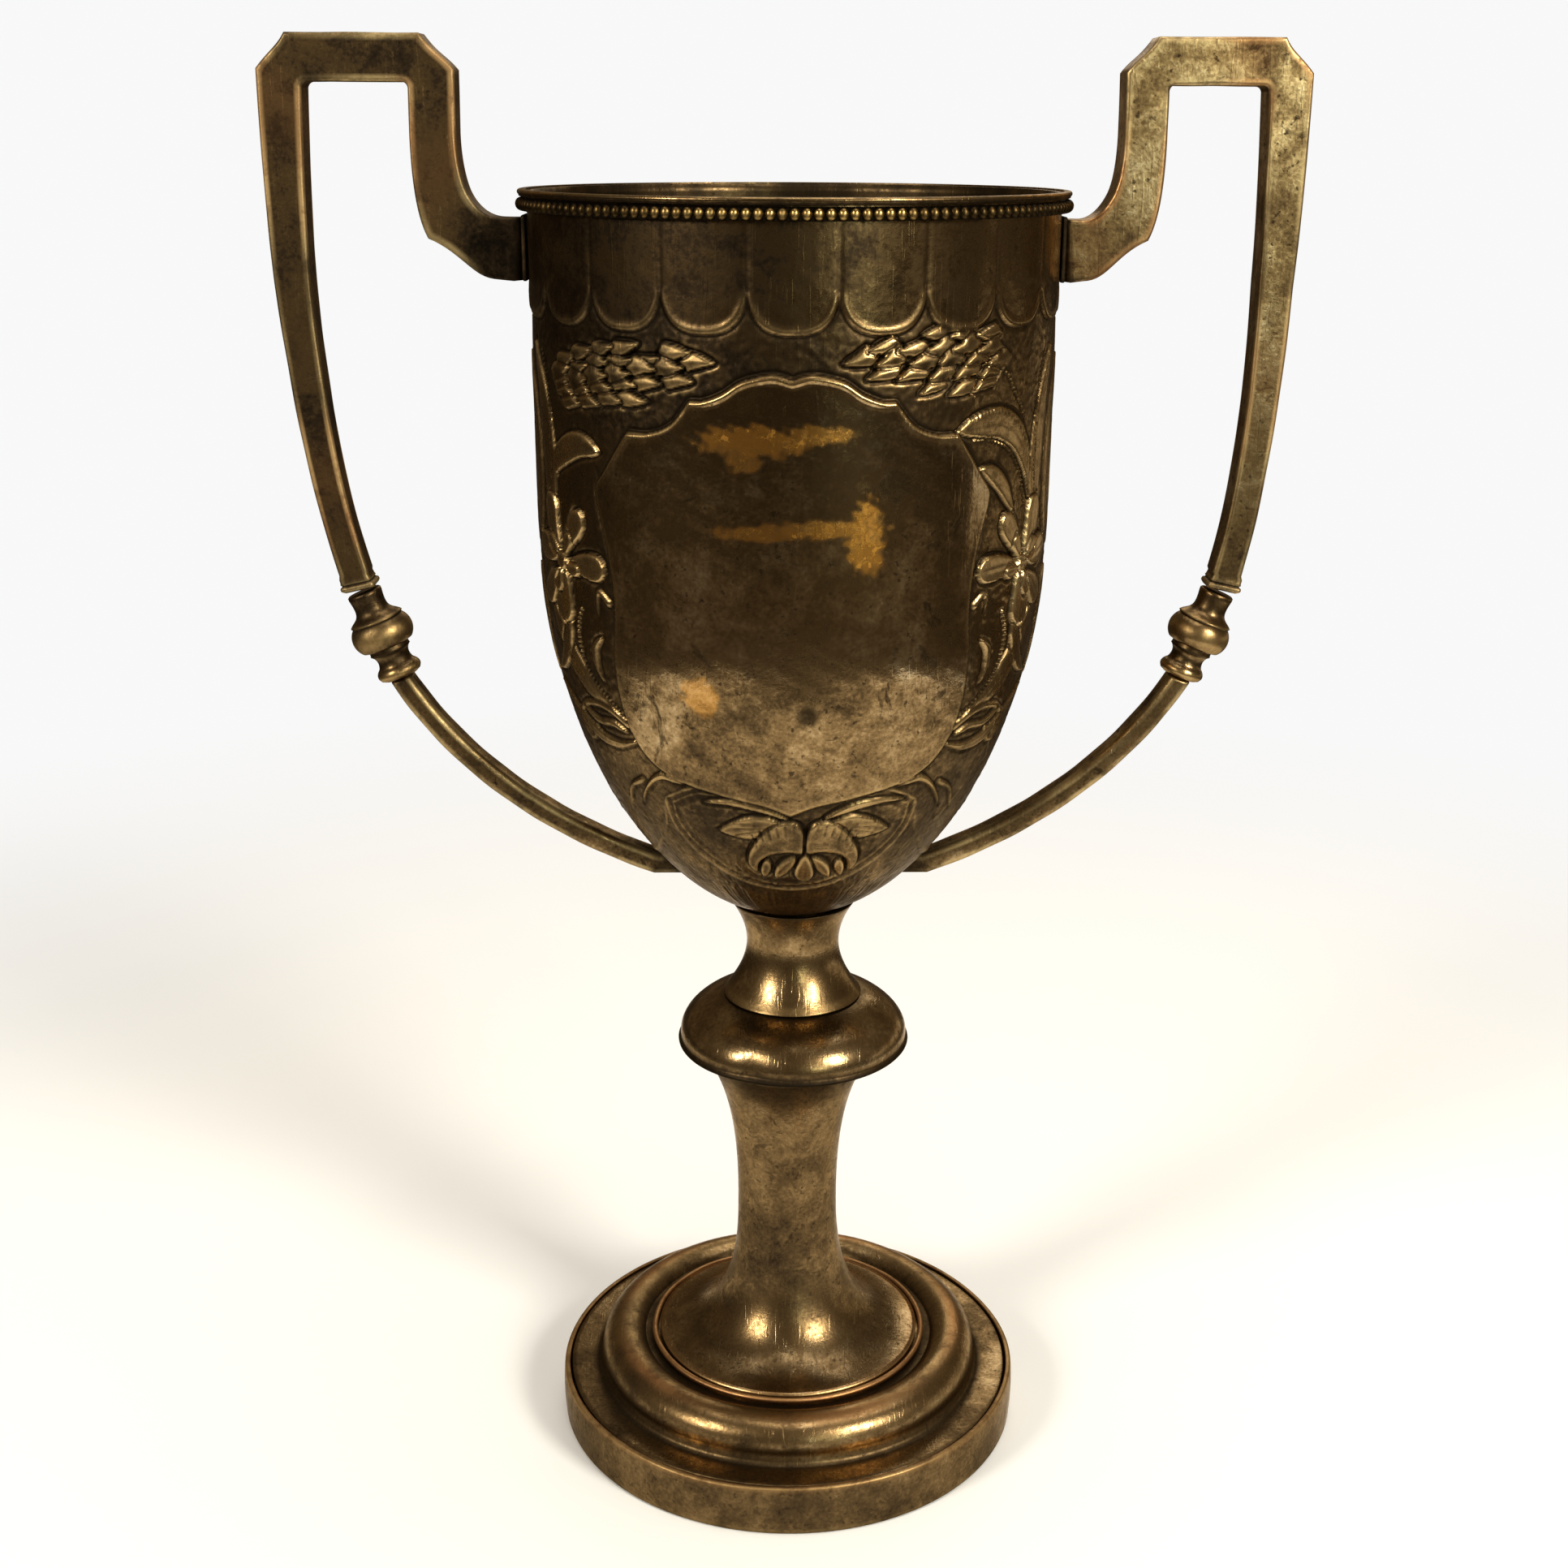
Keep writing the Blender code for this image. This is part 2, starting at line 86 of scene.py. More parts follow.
def bezier(p0, p1, p2, p3, steps):
    t = np.linspace(0.0, 1.0, steps + 1)[:, None]
    a, b, c, d = (np.array(p, float) for p in (p0, p1, p2, p3))
    return a * (1 - t) ** 3 + 3 * b * t * (1 - t) ** 2 + 3 * c * t * t * (1 - t) + d * t ** 3


def line(p0, p1, steps):
    t = np.linspace(0.0, 1.0, steps + 1)[:, None]
    return np.array(p0, float) * (1 - t) + np.array(p1, float) * t


def arc(centre, radius, start, end, steps):
    t = np.radians(np.linspace(start, end, steps + 1))
    return np.stack([centre[0] + radius * np.cos(t), centre[1] + radius * np.sin(t)], 1)


def curve_through(points, steps=8):
    """Smooth curve through the points."""
    p = np.array(points, float)
    p = np.vstack([2 * p[0] - p[1], p, 2 * p[-1] - p[-2]])
    t = np.linspace(0.0, 1.0, steps, endpoint=False)[:, None]
    runs = []
    for a, b, c, d in zip(p, p[1:], p[2:], p[3:]):
        runs.append(0.5 * (2 * b + (c - a) * t + (2 * a - 5 * b + 4 * c - d) * t ** 2
                           + (3 * b - a - 3 * c + d) * t ** 3))
    return np.vstack(runs + [p[-2:-1]])


def joined(*stretches):
    """Stretches end to end, without the points that they share."""
    points = [np.asarray(stretches[0], float)]
    for stretch in stretches[1:]:
        stretch = np.asarray(stretch, float)
        same = np.allclose(stretch[0], points[-1][-1], atol=1e-6)
        points.append(stretch[1:] if same else stretch)
    return np.vstack(points)


def softened(section, radius, steps=3):
    """Closed section with each corner turned into a small curve."""
    p = np.asarray(section, float)
    out = []
    for i, point in enumerate(p):
        back, ahead = p[i - 1] - point, p[(i + 1) % len(p)] - point
        lb, la = np.linalg.norm(back), np.linalg.norm(ahead)
        bend = np.degrees(np.arccos(np.clip(-back @ ahead / (lb * la), -1.0, 1.0)))
        if bend < 28 or point[0] < 1e-6:
            out.append(point)
            continue
        start = point + back / lb * min(radius, 0.45 * lb)
        end = point + ahead / la * min(radius, 0.45 * la)
        for t in np.linspace(0.0, 1.0, steps + 1):
            out.append(start * (1 - t) ** 2 + 2 * point * t * (1 - t) + end * t * t)
    return np.array(out)


def refined(section, step, closed=True):
    """The same outline with no edge longer than step."""
    p = np.asarray(section, float)
    ends = np.roll(p, -1, axis=0) if closed else p[1:]
    out = []
    for a, b in zip(p, ends):
        n = max(1, int(math.ceil(np.linalg.norm(b - a) / step)))
        out.extend(a + (b - a) * i / n for i in range(n))
    if not closed:
        out.append(p[-1])
    return np.array(out)


def thickened(profile, gauge):
    """Closed section of a sheet: its outside profile and the parallel inside."""
    p = np.asarray(profile, float)
    along = np.gradient(p, axis=0)
    along /= np.linalg.norm(along, axis=1)[:, None]
    inner = np.stack([p[:, 0] + gauge * along[:, 1], p[:, 1] - gauge * along[:, 0]], 1)
    inner[:, 0] = np.maximum(inner[:, 0], 0.0)
    return np.vstack([p, inner[::-1]])


# ---------------------------------------------------------------- pieces

def linked(name, data):
    """A new object in the scene for this mesh, light or camera."""
    obj = bpy.data.objects.new(name, data)
    bpy.context.scene.collection.objects.link(obj)
    return obj


def piece(name, node, slot, verts, faces, material, **values):
    """Make a closed mesh that stands for a CAD node. verts are in millimetres."""
    verts = np.asarray(verts, float).reshape(-1, 3)
    quads = np.array([f if len(f) == 4 else (*f, f[0]) for f in faces])
    a, b, c, d = (verts[quads[:, k]] for k in range(4))
    volume = np.einsum("ij,ij->", a, np.cross(b, c)) + np.einsum("ij,ij->", a, np.cross(c, d))
    if volume < 0:
        faces = [f[::-1] for f in faces]
    mesh = bpy.data.meshes.new(name)
    mesh.from_pydata((verts * MM).tolist(), [], faces)
    for key in ("shade", "wear", "grime", "warm"):
        attribute = mesh.attributes.new(key, "FLOAT", "POINT")
        value = np.asarray(values.get(key, np.zeros(len(verts))), np.float32)
        attribute.data.foreach_set("value", value.ravel())
    mesh.shade_smooth()
    mesh.materials.append(material)
    mesh.update()
    obj = linked(name, mesh)
    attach(obj, "root")
    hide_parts(node)


def strip_faces(rows, columns, close_rows, first=0):
    """Quads of a grid that closes round its columns, and if wanted round its rows."""
    i = np.arange(rows if close_rows else rows - 1)[:, None]
    k = np.arange(columns)[None, :]
    below, beside = (i + 1) % rows, (k + 1) % columns
    quads = np.stack([i * columns + k, i * columns + beside,
                      below * columns + beside, below * columns + k], -1)
    return (quads.reshape(-1, 4) + first).tolist()


def spun(r, angle, z):
    """Grid of points at these radii, angles (0 is the front) and heights."""
    return np.stack([r * np.sin(angle), -r * np.cos(angle), z], -1)


def turned(node, slot, section, material, facets, wobble, lift=None, name=None, **values):
    """Turn a closed section (r, z) into a ring. wobble and lift move it out and up; they and the
    values are functions of (angle, r, z)."""
    section = np.asarray(section, float)
    angle = np.radians(np.arange(facets) * 360.0 / facets)[None, :]
    angle = np.repeat(angle, len(section), axis=0)
    r, z = (np.repeat(section[:, k:k + 1], facets, axis=1) for k in (0, 1))
    shown = {key: value(angle, r, z) + np.zeros_like(r) for key, value in values.items()}
    high = z + lift(angle, r, z) if lift else z
    verts = spun(r + wobble(angle, r, z), angle, high)
    faces = strip_faces(len(section), facets, True)
    piece(name or node + "_finished", node, slot, verts, faces, material, **shown)


def lofted(node, slot, rings, material, name=None, poles=None, at_poles=0.0, **values):
    """Skin a run of equal rings and close both ends with a fan."""
    rings = np.asarray(rings, float)
    rows, columns = rings.shape[:2]
    faces = strip_faces(rows, columns, False)
    verts = np.vstack([rings.reshape(-1, 3), poles or [rings[0].mean(0), rings[-1].mean(0)]])
    first = rows * columns
    for k in range(columns):
        n = (k + 1) % columns
        faces.append([n, k, first])
        faces.append([first - columns + k, first - columns + n, first + 1])
    shown = {key: np.append(np.broadcast_to(value, (rows, columns)), [at_poles] * 2)
             for key, value in values.items()}
    piece(name or node + "_finished", node, slot, verts, faces, material, **shown)


def ripple(seed, count, lowest=1, highest=6):
    """A smooth random function of the angle, about -1 to 1: hand-worked out-of-round."""
    rng = np.random.default_rng(seed)
    waves = [(rng.integers(lowest, highest + 1), rng.uniform(0, 2 * np.pi), rng.uniform(0.5, 1.0))
             for _ in range(count)]
    total = sum(w[2] for w in waves)
    return lambda angle: sum(h * np.sin(n * angle + p) for n, p, h in waves) / total


# ---------------------------------------------------------------- materials

class Shader:
    """A Principled material and short ways to add nodes to it."""

    def __init__(self, name, metallic, display):
        self.material = bpy.data.materials.new(name)
        self.material.use_nodes = True
        self.material.diffuse_color = (*display, 1.0)
        self.tree = self.material.node_tree
        self.bsdf = self.tree.nodes["Principled BSDF"]
        self.set({"Metallic": metallic})

    def add(self, kind, sockets, **settings):
        node = self.tree.nodes.new("ShaderNode" + kind)
        for key, value in settings.items():
            setattr(node, key, value)
        for key, value in sockets.items():
            self.put(node.inputs[key], value)
        return node

    def put(self, socket, value):
        if isinstance(value, bpy.types.NodeSocket):
            self.tree.links.new(value, socket)
        elif isinstance(value, tuple) and len(value) == 3 and socket.type == "RGBA":
            socket.default_value = (*value, 1.0)
        else:
            socket.default_value = value

    def set(self, sockets):
        for key, value in sockets.items():
            self.put(self.bsdf.inputs[key], value)

    def place(self, stretch=None):
        coords = self.add("TexCoord", {}).outputs["Object"]
        if not stretch:
            return coords
        return self.add("Mapping", {"Vector": coords, "Scale": stretch}).outputs["Vector"]

    def noise(self, scale, detail=4.0, rough=0.55, stretch=None, twist=0.0):
        sockets = {"Vector": self.place(stretch), "Scale": scale, "Detail": detail,
                   "Roughness": rough, "Distortion": twist}
        return self.add("TexNoise", sockets).outputs["Fac"]

    def between(self, value, low, high, start=0.0, end=1.0):
        sockets = {0: value, 1: low, 2: high, 3: start, 4: end}
        return self.add("MapRange", sockets, interpolation_type="SMOOTHSTEP").outputs[0]

    def math(self, operation, a, b, clamp=False):
        return self.add("Math", {0: a, 1: b}, operation=operation, use_clamp=clamp).outputs[0]

    def plus(self, a, b, clamp=False):
        return self.math("ADD", a, b, clamp)

    def times(self, a, b, clamp=False):
        return self.math("MULTIPLY", a, b, clamp)

    def mix(self, share, a, b):
        node = self.add("Mix", {0: share, 6: a, 7: b}, data_type="RGBA", blend_type="MIX")
        return node.outputs[2]

    def ramp(self, value, stops):
        node = self.add("ValToRGB", {0: value})
        elements = node.color_ramp.elements
        elements[0].position, elements[0].color = stops[0][0], (*stops[0][1], 1.0)
        elements[1].position, elements[1].color = stops[-1][0], (*stops[-1][1], 1.0)
        for position, colour in stops[1:-1]:
            elements.new(position).color = (*colour, 1.0)
        return node.outputs[0]

    def attribute(self, name):
        return self.add("Attribute", {}, attribute_name=name).outputs["Fac"]

    def bump(self, height, distance, strength, normal=None):
        sockets = {"Height": height, "Distance": distance, "Strength": strength}
        if normal is not None:
            sockets["Normal"] = normal
        return self.add("Bump", sockets).outputs["Normal"]


# Near-black of patina in hollows; the same colour is used for painted shade
GRIME_AND_SHADE = (0.014, 0.010, 0.006)
RUBBED_BRASS = (0.50, 0.335, 0.135)
COPPERY = (0.40, 0.175, 0.062)
OCHRE = (0.84, 0.40, 0.07)
TARNISH = [(0.0, (0.012, 0.009, 0.006)), (0.25, (0.040, 0.026, 0.014)),
           (0.45, (0.105, 0.066, 0.029)), (0.62, (0.205, 0.130, 0.056)),
           (0.80, (0.37, 0.255, 0.125)), (1.0, (0.60, 0.46, 0.27))]
BRASS_TARNISH = [(0.0, (0.020, 0.012, 0.005)), (0.3, (0.10, 0.058, 0.018)),
                 (0.6, (0.36, 0.23, 0.075)), (1.0, (0.75, 0.55, 0.24))]
COPPER_TARNISH = [(0.0, (0.020, 0.011, 0.006)), (0.35, (0.12, 0.060, 0.026)),
                  (0.65, (0.30, 0.165, 0.075)), (1.0, (0.55, 0.36, 0.20))]
STEEL_TARNISH = [(0.0, (0.03, 0.027, 0.025)), (0.5, (0.16, 0.155, 0.15)),
                 (1.0, (0.40, 0.39, 0.38))]


def plate(name, tone, tones=TARNISH, rubbed=RUBBED_BRASS, warm=COPPERY, rough=(0.22, 0.5),
          contrast=1.0, cloud=30.0, spun_rings=0.0, pits=1.0, texture=1.0,
          display=(0.36, 0.29, 0.20)):
    """Worn, tarnished plate. tone is how clean it is, from 0 (black) to 1. Mesh values steer it:
    a tone value adds to the tone, both as the metal's own cleaner and blacker places and as painted
    light and shade; wear bares the brass on high spots, and on the beads paints a highlight; grime
    fills hollows with patina and paints shade under and between parts; and warm shows copper or
    ochre through the thin plate."""
    s = Shader(name, 1.0, display)
    s.set({"Specular Tint": (0.82, 0.72, 0.60)})
    clouds = s.noise(cloud, 5.0, 0.62, twist=0.7)
    mottle = s.noise(170.0, 6.0, 0.68, twist=0.3)
    grain = s.noise(1300.0, 3.0, 0.6)
    spread = s.plus(s.times(clouds, 0.85 * contrast), s.times(mottle, 0.75 * contrast))
    spread = s.plus(spread, s.times(grain, 0.40 * contrast))
    # The tone value from the mesh brings in painted light and shade as well as the metal's own
    # cleaner and blacker places
    tone_with_painted_light = s.plus(spread, s.plus(s.attribute("shade"), tone - contrast))
    colour = s.ramp(tone_with_painted_light, tones)

    specks = s.between(s.noise(700.0, 3.0, 0.6), 0.60, 0.70)
    stains = s.between(s.noise(95.0, 6.0, 0.75, twist=1.4), 0.56, 0.66)
    dirt = s.times(s.math("MAXIMUM", specks, stains), 0.62 * pits)
    colour = s.mix(dirt, colour, tuple(0.55 * c for c in tones[1][1]))

    patchy = s.between(mottle, 0.36, 0.56, 0.35, 1.0)
    thin = s.times(s.attribute("warm"), s.between(mottle, 0.36, 0.52, 0.6, 1.0), True)
    colour = s.mix(thin, colour, warm)
    # Rubbed brass: wear on high spots, and a painted highlight on the beads that face the front
    colour = s.mix(s.times(s.attribute("wear"), patchy, True), colour, rubbed)
    # Grime colour: patina in the hollows, and painted shade under and between parts
    grime = s.attribute("grime")
    colour = s.mix(grime, colour, GRIME_AND_SHADE)

    roughness = s.between(tone_with_painted_light, 0.2, 0.8, rough[1], rough[0])
    roughness = s.plus(roughness, s.times(dirt, 0.15))
    bared = s.plus(s.times(s.attribute("wear"), 0.20), s.times(s.attribute("warm"), 0.12))
    roughness = s.plus(roughness, bared)
    roughness = s.plus(roughness, s.times(grime, 0.2), True)

    normal = s.bump(mottle, 0.00014 * texture, 0.5)
    normal = s.bump(grain, 0.00005 * texture, 0.5, normal)
    scratches = s.between(s.noise(260.0, 2.0, 0.4, (6.0, 1.0, 0.35), 0.4), 0.60, 0.66)
    normal = s.bump(scratches, 0.00004, 0.35, normal)
    if spun_rings:
        rings = s.noise(1.0, 3.0, 0.7, (14.0, 14.0, 2600.0))
        normal = s.bump(rings, 0.00005, spun_rings, normal)
    s.set({"Base Color": colour, "Roughness": roughness, "Normal": normal})
    return s.material


BOWL_PLATE = plate("bowl_plate", 0.50, contrast=1.25, rubbed=(0.46, 0.31, 0.13), warm=OCHRE,
                   rough=(0.13, 0.40), texture=0.7, pits=1.2, display=(0.24, 0.19, 0.13))
HANDLE_PLATE = plate("handle_plate", 0.56, rubbed=(0.56, 0.42, 0.20), rough=(0.28, 0.50),
                     contrast=1.5, cloud=45.0, pits=1.4)
STEM_PLATE = plate("stem_plate", 0.535, rough=(0.20, 0.42), spun_rings=0.3)
FOOT_PLATE = plate("foot_plate", 0.54, rough=(0.22, 0.44), spun_rings=0.3)
BEAD_BRASS = plate("bead_brass", 0.54, BRASS_TARNISH, rubbed=(0.70, 0.50, 0.20), rough=(0.22, 0.4),
                   cloud=60.0, display=(0.52, 0.38, 0.16))
COPPER_EDGE = plate("copper_edge", 0.55, COPPER_TARNISH, rough=(0.28, 0.45),
                    display=(0.45, 0.24, 0.12))
DULL_STEEL = plate("dull_steel", 0.5, STEEL_TARNISH, rough=(0.35, 0.6), display=(0.35, 0.35, 0.36))


# ---------------------------------------------------------------- chased relief

def wall_radius(z):
    """Outside radius of the plain bowl."""
    fall = np.clip((SHOULDER - np.asarray(z, float)) / BOWL_DROP, 0.0, 0.9999)
    return BOWL_RADIUS * np.sqrt(1.0 - fall * fall)


def flat(points):
    """(a, z) places as millimetres along the wall and up."""
    p = np.asarray(points, float)
    return np.stack([np.radians(p[:, 0]) * wall_radius(p[:, 1]), p[:, 1]], 1)


def nearest(curve, u, v):
    """Distance to a curve, the share of its length there, and its length."""
    best = np.full(u.shape, 1e9)
    share = np.zeros(u.shape)
    steps = np.diff(curve, axis=0)
    lengths = np.hypot(steps[:, 0], steps[:, 1])
    total, run = lengths.sum(), 0.0
    for start, step, length in zip(curve, steps, lengths):
        if length < 1e-9:
            continue
        t = ((u - start[0]) * step[0] + (v - start[1]) * step[1]) / length ** 2
        t = np.clip(t, 0.0, 1.0)
        distance = np.hypot(u - start[0] - t * step[0], v - start[1] - t * step[1])
        closer = distance < best
        best = np.where(closer, distance, best)
        share = np.where(closer, (run + t * length) / total, share)
        run += length
    return best, share, total


def inside(outline, u, v):
    """True within a closed outline."""
    within = np.zeros(u.shape, bool)
    for (x0, y0), (x1, y1) in zip(outline, np.roll(outline, -1, axis=0)):
        if y0 == y1:
            continue
        crosses = (y0 > v) != (y1 > v)
        within ^= crosses & (u < (x1 - x0) * (v - y0) / (y1 - y0) + x0)
    return within


LEAF = lambda t: np.sin(np.pi * np.clip(t, 0, 1) ** 0.8) ** 0.8
SCALE = lambda t: np.clip(4 * t * (1 - t), 0, 1) ** 0.62
POINT = lambda t: smoothstep(t / 0.28 + 0.25) * np.clip(1.22 * np.clip(1 - t, 0, 1) ** 0.72, 0, 1)
PETAL = lambda t: 1.08 * np.clip(t, 0.02, 1) ** 0.55 * np.sqrt(np.clip(1 - t ** 5, 0, 1))
EVEN = lambda t: 1.0 + 0.0 * t
HORN = lambda t: np.clip(1 - t, 0, 1) ** 0.8


class Chasing:
    """Height of one quarter of the bowl, from the middle of the shield (a = 0) round to the
    handle (a = 90). The same hand cut both sides of the shield, not quite alike."""

    def __init__(self):
        self.z = np.arange(RELIEF_TOP, RELIEF_LOW, -RELIEF_STEP)
        self.a = np.linspace(0.0, 90.0, QUARTER + 1)
        self.u = np.radians(self.a)[None, :] * wall_radius(self.z)[:, None]
        self.v = np.repeat(self.z[:, None], QUARTER + 1, axis=1)
        self.h = np.full(self.u.shape, GROUND)
        self.shield = np.zeros(self.u.shape)
        self.raised = np.zeros(self.u.shape)            # 1 on leaves and petals, 0 on the ground

    def window(self, curve, margin):
        """Slices that hold a flat curve and a margin round it; empty where it lies outside."""
        low, high = curve.min(0) - margin, curve.max(0) + margin
        rows = np.nonzero((self.z >= low[1]) & (self.z <= high[1]))[0]
        r = wall_radius(self.z[rows])
        left = np.degrees(min(low[0] / r.max(), low[0] / r.min()))
        right = np.degrees(max(high[0] / r.max(), high[0] / r.min()))
        columns = np.nonzero((self.a >= left) & (self.a <= right))[0]
        if not len(columns):
            return np.s_[:0, :0]
        return slice(rows[0], rows[-1] + 1), slice(columns[0], columns[-1] + 1)

    def beside(self, curve, margin):
        """The grid round a flat curve, and what nearest() says of it there."""
        where = self.window(curve, margin)
        return where, *nearest(curve, self.u[where], self.v[where])

    def lay(self, where, edge, height, groove=0.16, soft=0.30, raised=1.0):
        """Set the height inside an edge (edge < 0) and cut a groove just outside it."""
        cover = smoothstep(0.5 - edge / soft)
        cut = bell(edge - 0.34, 0.30) * (edge > 0)
        self.h[where] = self.h[where] * (1 - cover) + height * cover - groove * cut
        self.raised[where] = self.raised[where] * (1 - cover) + raised * cover

    def ribbon(self, points, half, top, shape=LEAF, crease=0.0, base=GROUND + 0.12,
               groove=0.16, dome=0.5, rib=0.0, rim=0.0, raised=0.6, curve=None):
        """Raised band along a curve. crease cuts its middle line, rib raises it, and rim
        turns its edges up."""
        curve = flat(curve_through(points)) if curve is None else curve
        where, distance, share, _ = self.beside(curve, half + 1.6)
        width = np.maximum(half * shape(share), 0.02)
        across = np.clip(distance / width, 0.0, 1.0)
        rise = (1 - across ** 2.2) ** dome
        height = base + (top - base) * rise
        middle = rib * bell(distance, 0.32) - crease * bell(distance, 0.36)
        height += middle * np.minimum(width, 1)
        height += rim * bell(distance - width + 0.42, 0.28) * (width > 0.8)
        self.lay(where, distance - width, height, groove, raised=raised)

    def line(self, points, depth, width=0.3):
        """Chased line; a negative depth raises a fine ridge."""
        where, distance, _, _ = self.beside(flat(curve_through(points)), 1.2)
        self.h[where] -= depth * bell(distance, width)

    def beads(self, points, pitch, radius, top):
        """Row of small domes along a curve."""
        where, distance, share, total = self.beside(flat(curve_through(points)), radius + 0.6)
        beat = (share * total / pitch) % 1.0 - 0.5
        far = np.hypot(beat * pitch, distance) / radius
        dome = np.sqrt(np.clip(1 - far * far, 0.0, 1.0))
        self.h[where] = np.where(far < 1, GROUND + (top - GROUND) * dome, self.h[where])

    def outline(self, polygon, top, roll, soft, groove, raised):
        """Raised field inside a closed outline, with a rolled edge."""
        edge, where = self.edge_of(polygon, 3.0)
        if callable(roll):
            roll = roll(self.a[None, where[1]], self.v[where])
        height = top + roll * bell(edge + 0.75, 0.55)
        self.lay(where, edge, height, groove, soft, raised)
        return edge, where

    def edge_of(self, polygon, margin):
        """Distance to a closed outline, below 0 inside it."""
        curve = flat(polygon)
        where = self.window(curve, margin)
        closed = np.vstack([curve, curve[:1]])
        distance, _, _ = nearest(closed, self.u[where], self.v[where])
        within = inside(curve, self.u[where], self.v[where])
        return np.where(within, -distance, distance), where


def mirrored(half):
    """Closed outline from its right half, listed from the top middle to the bottom middle."""
    half = np.asarray(half, float)
    other = half[::-1] * (-1.0, 1.0)
    return np.vstack([half, other[1:-1]])


SHIELD = mirrored(joined(
    curve_through([(0, 235.3), (4, 236.1), (10, 235.0), (14, 232.8), (18, 231.4),
                   (20.8, 231.3)], 5),
    curve_through([(20.8, 231.3), (25, 227.0), (30, 225.2), (35.5, 225.0)], 5),
    curve_through([(35.5, 225.0), (39, 221.0), (42, 217.5), (44.6, 214.6), (44.7, 212.0), (43, 207),
                   (41.3, 202), (40.3, 196), (40.5, 190), (41.7, 184), (42.5, 178), (42.3, 173),
                   (41, 168), (38.5, 164), (34.5, 161), (29, 159), (22, 157.7), (13, 156.2),
                   (6, 155), (0, 153)], 4)))
VESICA = mirrored(joined(
    curve_through([(0, 154.4), (12, 156.6), (24, 157.6), (35, 154.0)], 5),
    curve_through([(35, 154), (35.4, 148.4), (32, 143.5), (27, 140), (21, 137.2), (14, 135.2),
                   (7, 134.3), (0, 134)], 5)))


def chase_lappets(c):
    """Row of round-ended lappets hanging from the mouth, with rolled edges."""
    pitch, half, cusp, drop = 18.0, 7.92, 250.2, 7.7
    a = (c.a + pitch / 2) % pitch - pitch / 2
    u = np.radians(np.abs(a))[None, :] * BOWL_RADIUS
    fall = np.clip(cusp - c.v, 0.0, None)
    edge = (((u / half) ** 2.5 + (fall / drop) ** 2.2) ** 0.43 - 1.0) * drop
    edge = np.where(c.v > cusp, -3.0, edge)
    roll = smoothstep((250.4 - c.v) / 4.0)
    height = 0.02 + 0.17 * bell(edge + 0.75, 0.5) * roll
    c.lay(np.s_[:, :], edge, height, 0.15 * roll, 0.6, 0.15)
    between = np.radians(pitch / 2) * BOWL_RADIUS
    seam = bell(u - between, 0.55) * smoothstep((c.v - cusp + 1.5) / 2.0)
    c.h -= 0.16 * seam


def chase_shield(c):
    edge, where = c.outline(SHIELD, 0.30, shield_lip, 0.9, 0.30, 0.0)
    c.shield[where] = smoothstep(-edge / 0.8)


def shield_lip(a, z):
    """The turned-up lip of the shield: proud along the top and at the upper corners."""
    crown = smoothstep((z - 229.5) / 2.0) * smoothstep((23.0 - a) / 2.5)
    corner = bell(np.hypot((a - 36.0) * 0.88, z - 224.8), 3.0) * 0.8
    return 0.04 + 0.34 * np.maximum(crown, corner)


def chase_cone(c, tip, end, half, droop, rng):
    """Cluster of flat pointed scales, laid like tiles, that point to the shield's middle."""
    tip, end = flat([tip, end])
    axis = end - tip
    length = np.linalg.norm(axis)
    axis /= length
    across = np.array([-axis[1], axis[0]])
    tiles = []
    for column in range(-2, 3):
        aside = column * half / 2.12
        reach = abs(column) * 1.5 + (2.9 if column % 2 else 0.0)
        while reach < length - 3.0 - 1.2 * abs(column):
            if abs(aside) < half * min(1.0, 0.20 + 2.4 * reach / length):
                tiles.append((reach, aside))
            reach += rng.uniform(5.4, 6.1)
    for reach, aside in sorted(tiles):
        fan = droop + aside / half * 0.25 + rng.uniform(-0.12, 0.12)
        way = -axis * math.cos(fan) + across * math.sin(fan)
        size = rng.uniform(5.8, 6.8)
        narrow = 1.0 - 0.30 * smoothstep((reach / length - 0.6) / 0.5)
        point = tip + axis * reach + across * (aside * narrow + rng.uniform(-0.25, 0.25))
        bend = across * rng.uniform(-0.25, 0.25)
        scale = np.array([point - way * size, point - way * size * 0.5 + bend, point])
        share = reach / length
        c.ribbon(None, rng.uniform(1.5, 1.8), rng.uniform(0.26, 0.38) - 0.16 * share, POINT,
                 base=0.04 - 0.12 * share, groove=0.55 - 0.3 * share, rib=0.08 * (1 - share),
                 dome=0.7, raised=0.3, curve=curve_through(scale, 5))


# Petals: root, bend and tip of the middle line, and half the width
FLOWER = (((58.0, 197.6), (59.5, 192.0), (60.6, 187.0), 4.4),
          ((60.8, 199.6), (66, 200), (72, 201), 3.4),
          ((60.0, 200.8), (63.0, 205.5), (65.0, 211.0), 3.4),
          ((57.6, 200.4), (54.4, 204.4), (50.4, 209.0), 2.9),
          ((56.6, 198.9), (49.5, 199.2), (42.8, 198.9), 3.2),
          ((61.0, 197.0), (66.5, 193.0), (71, 190), 3.2),
          ((57.6, 199.6), (56.0, 202.0), (55.0, 204.4), 1.5),
          ((57.0, 198.4), (54.0, 197.6), (51.4, 198.2), 1.5),
          ((59.6, 197.6), (60.6, 194.6), (62.6, 193.0), 1.6),
          ((60.0, 200.0), (62.6, 201.4), (65, 203), 1.6))


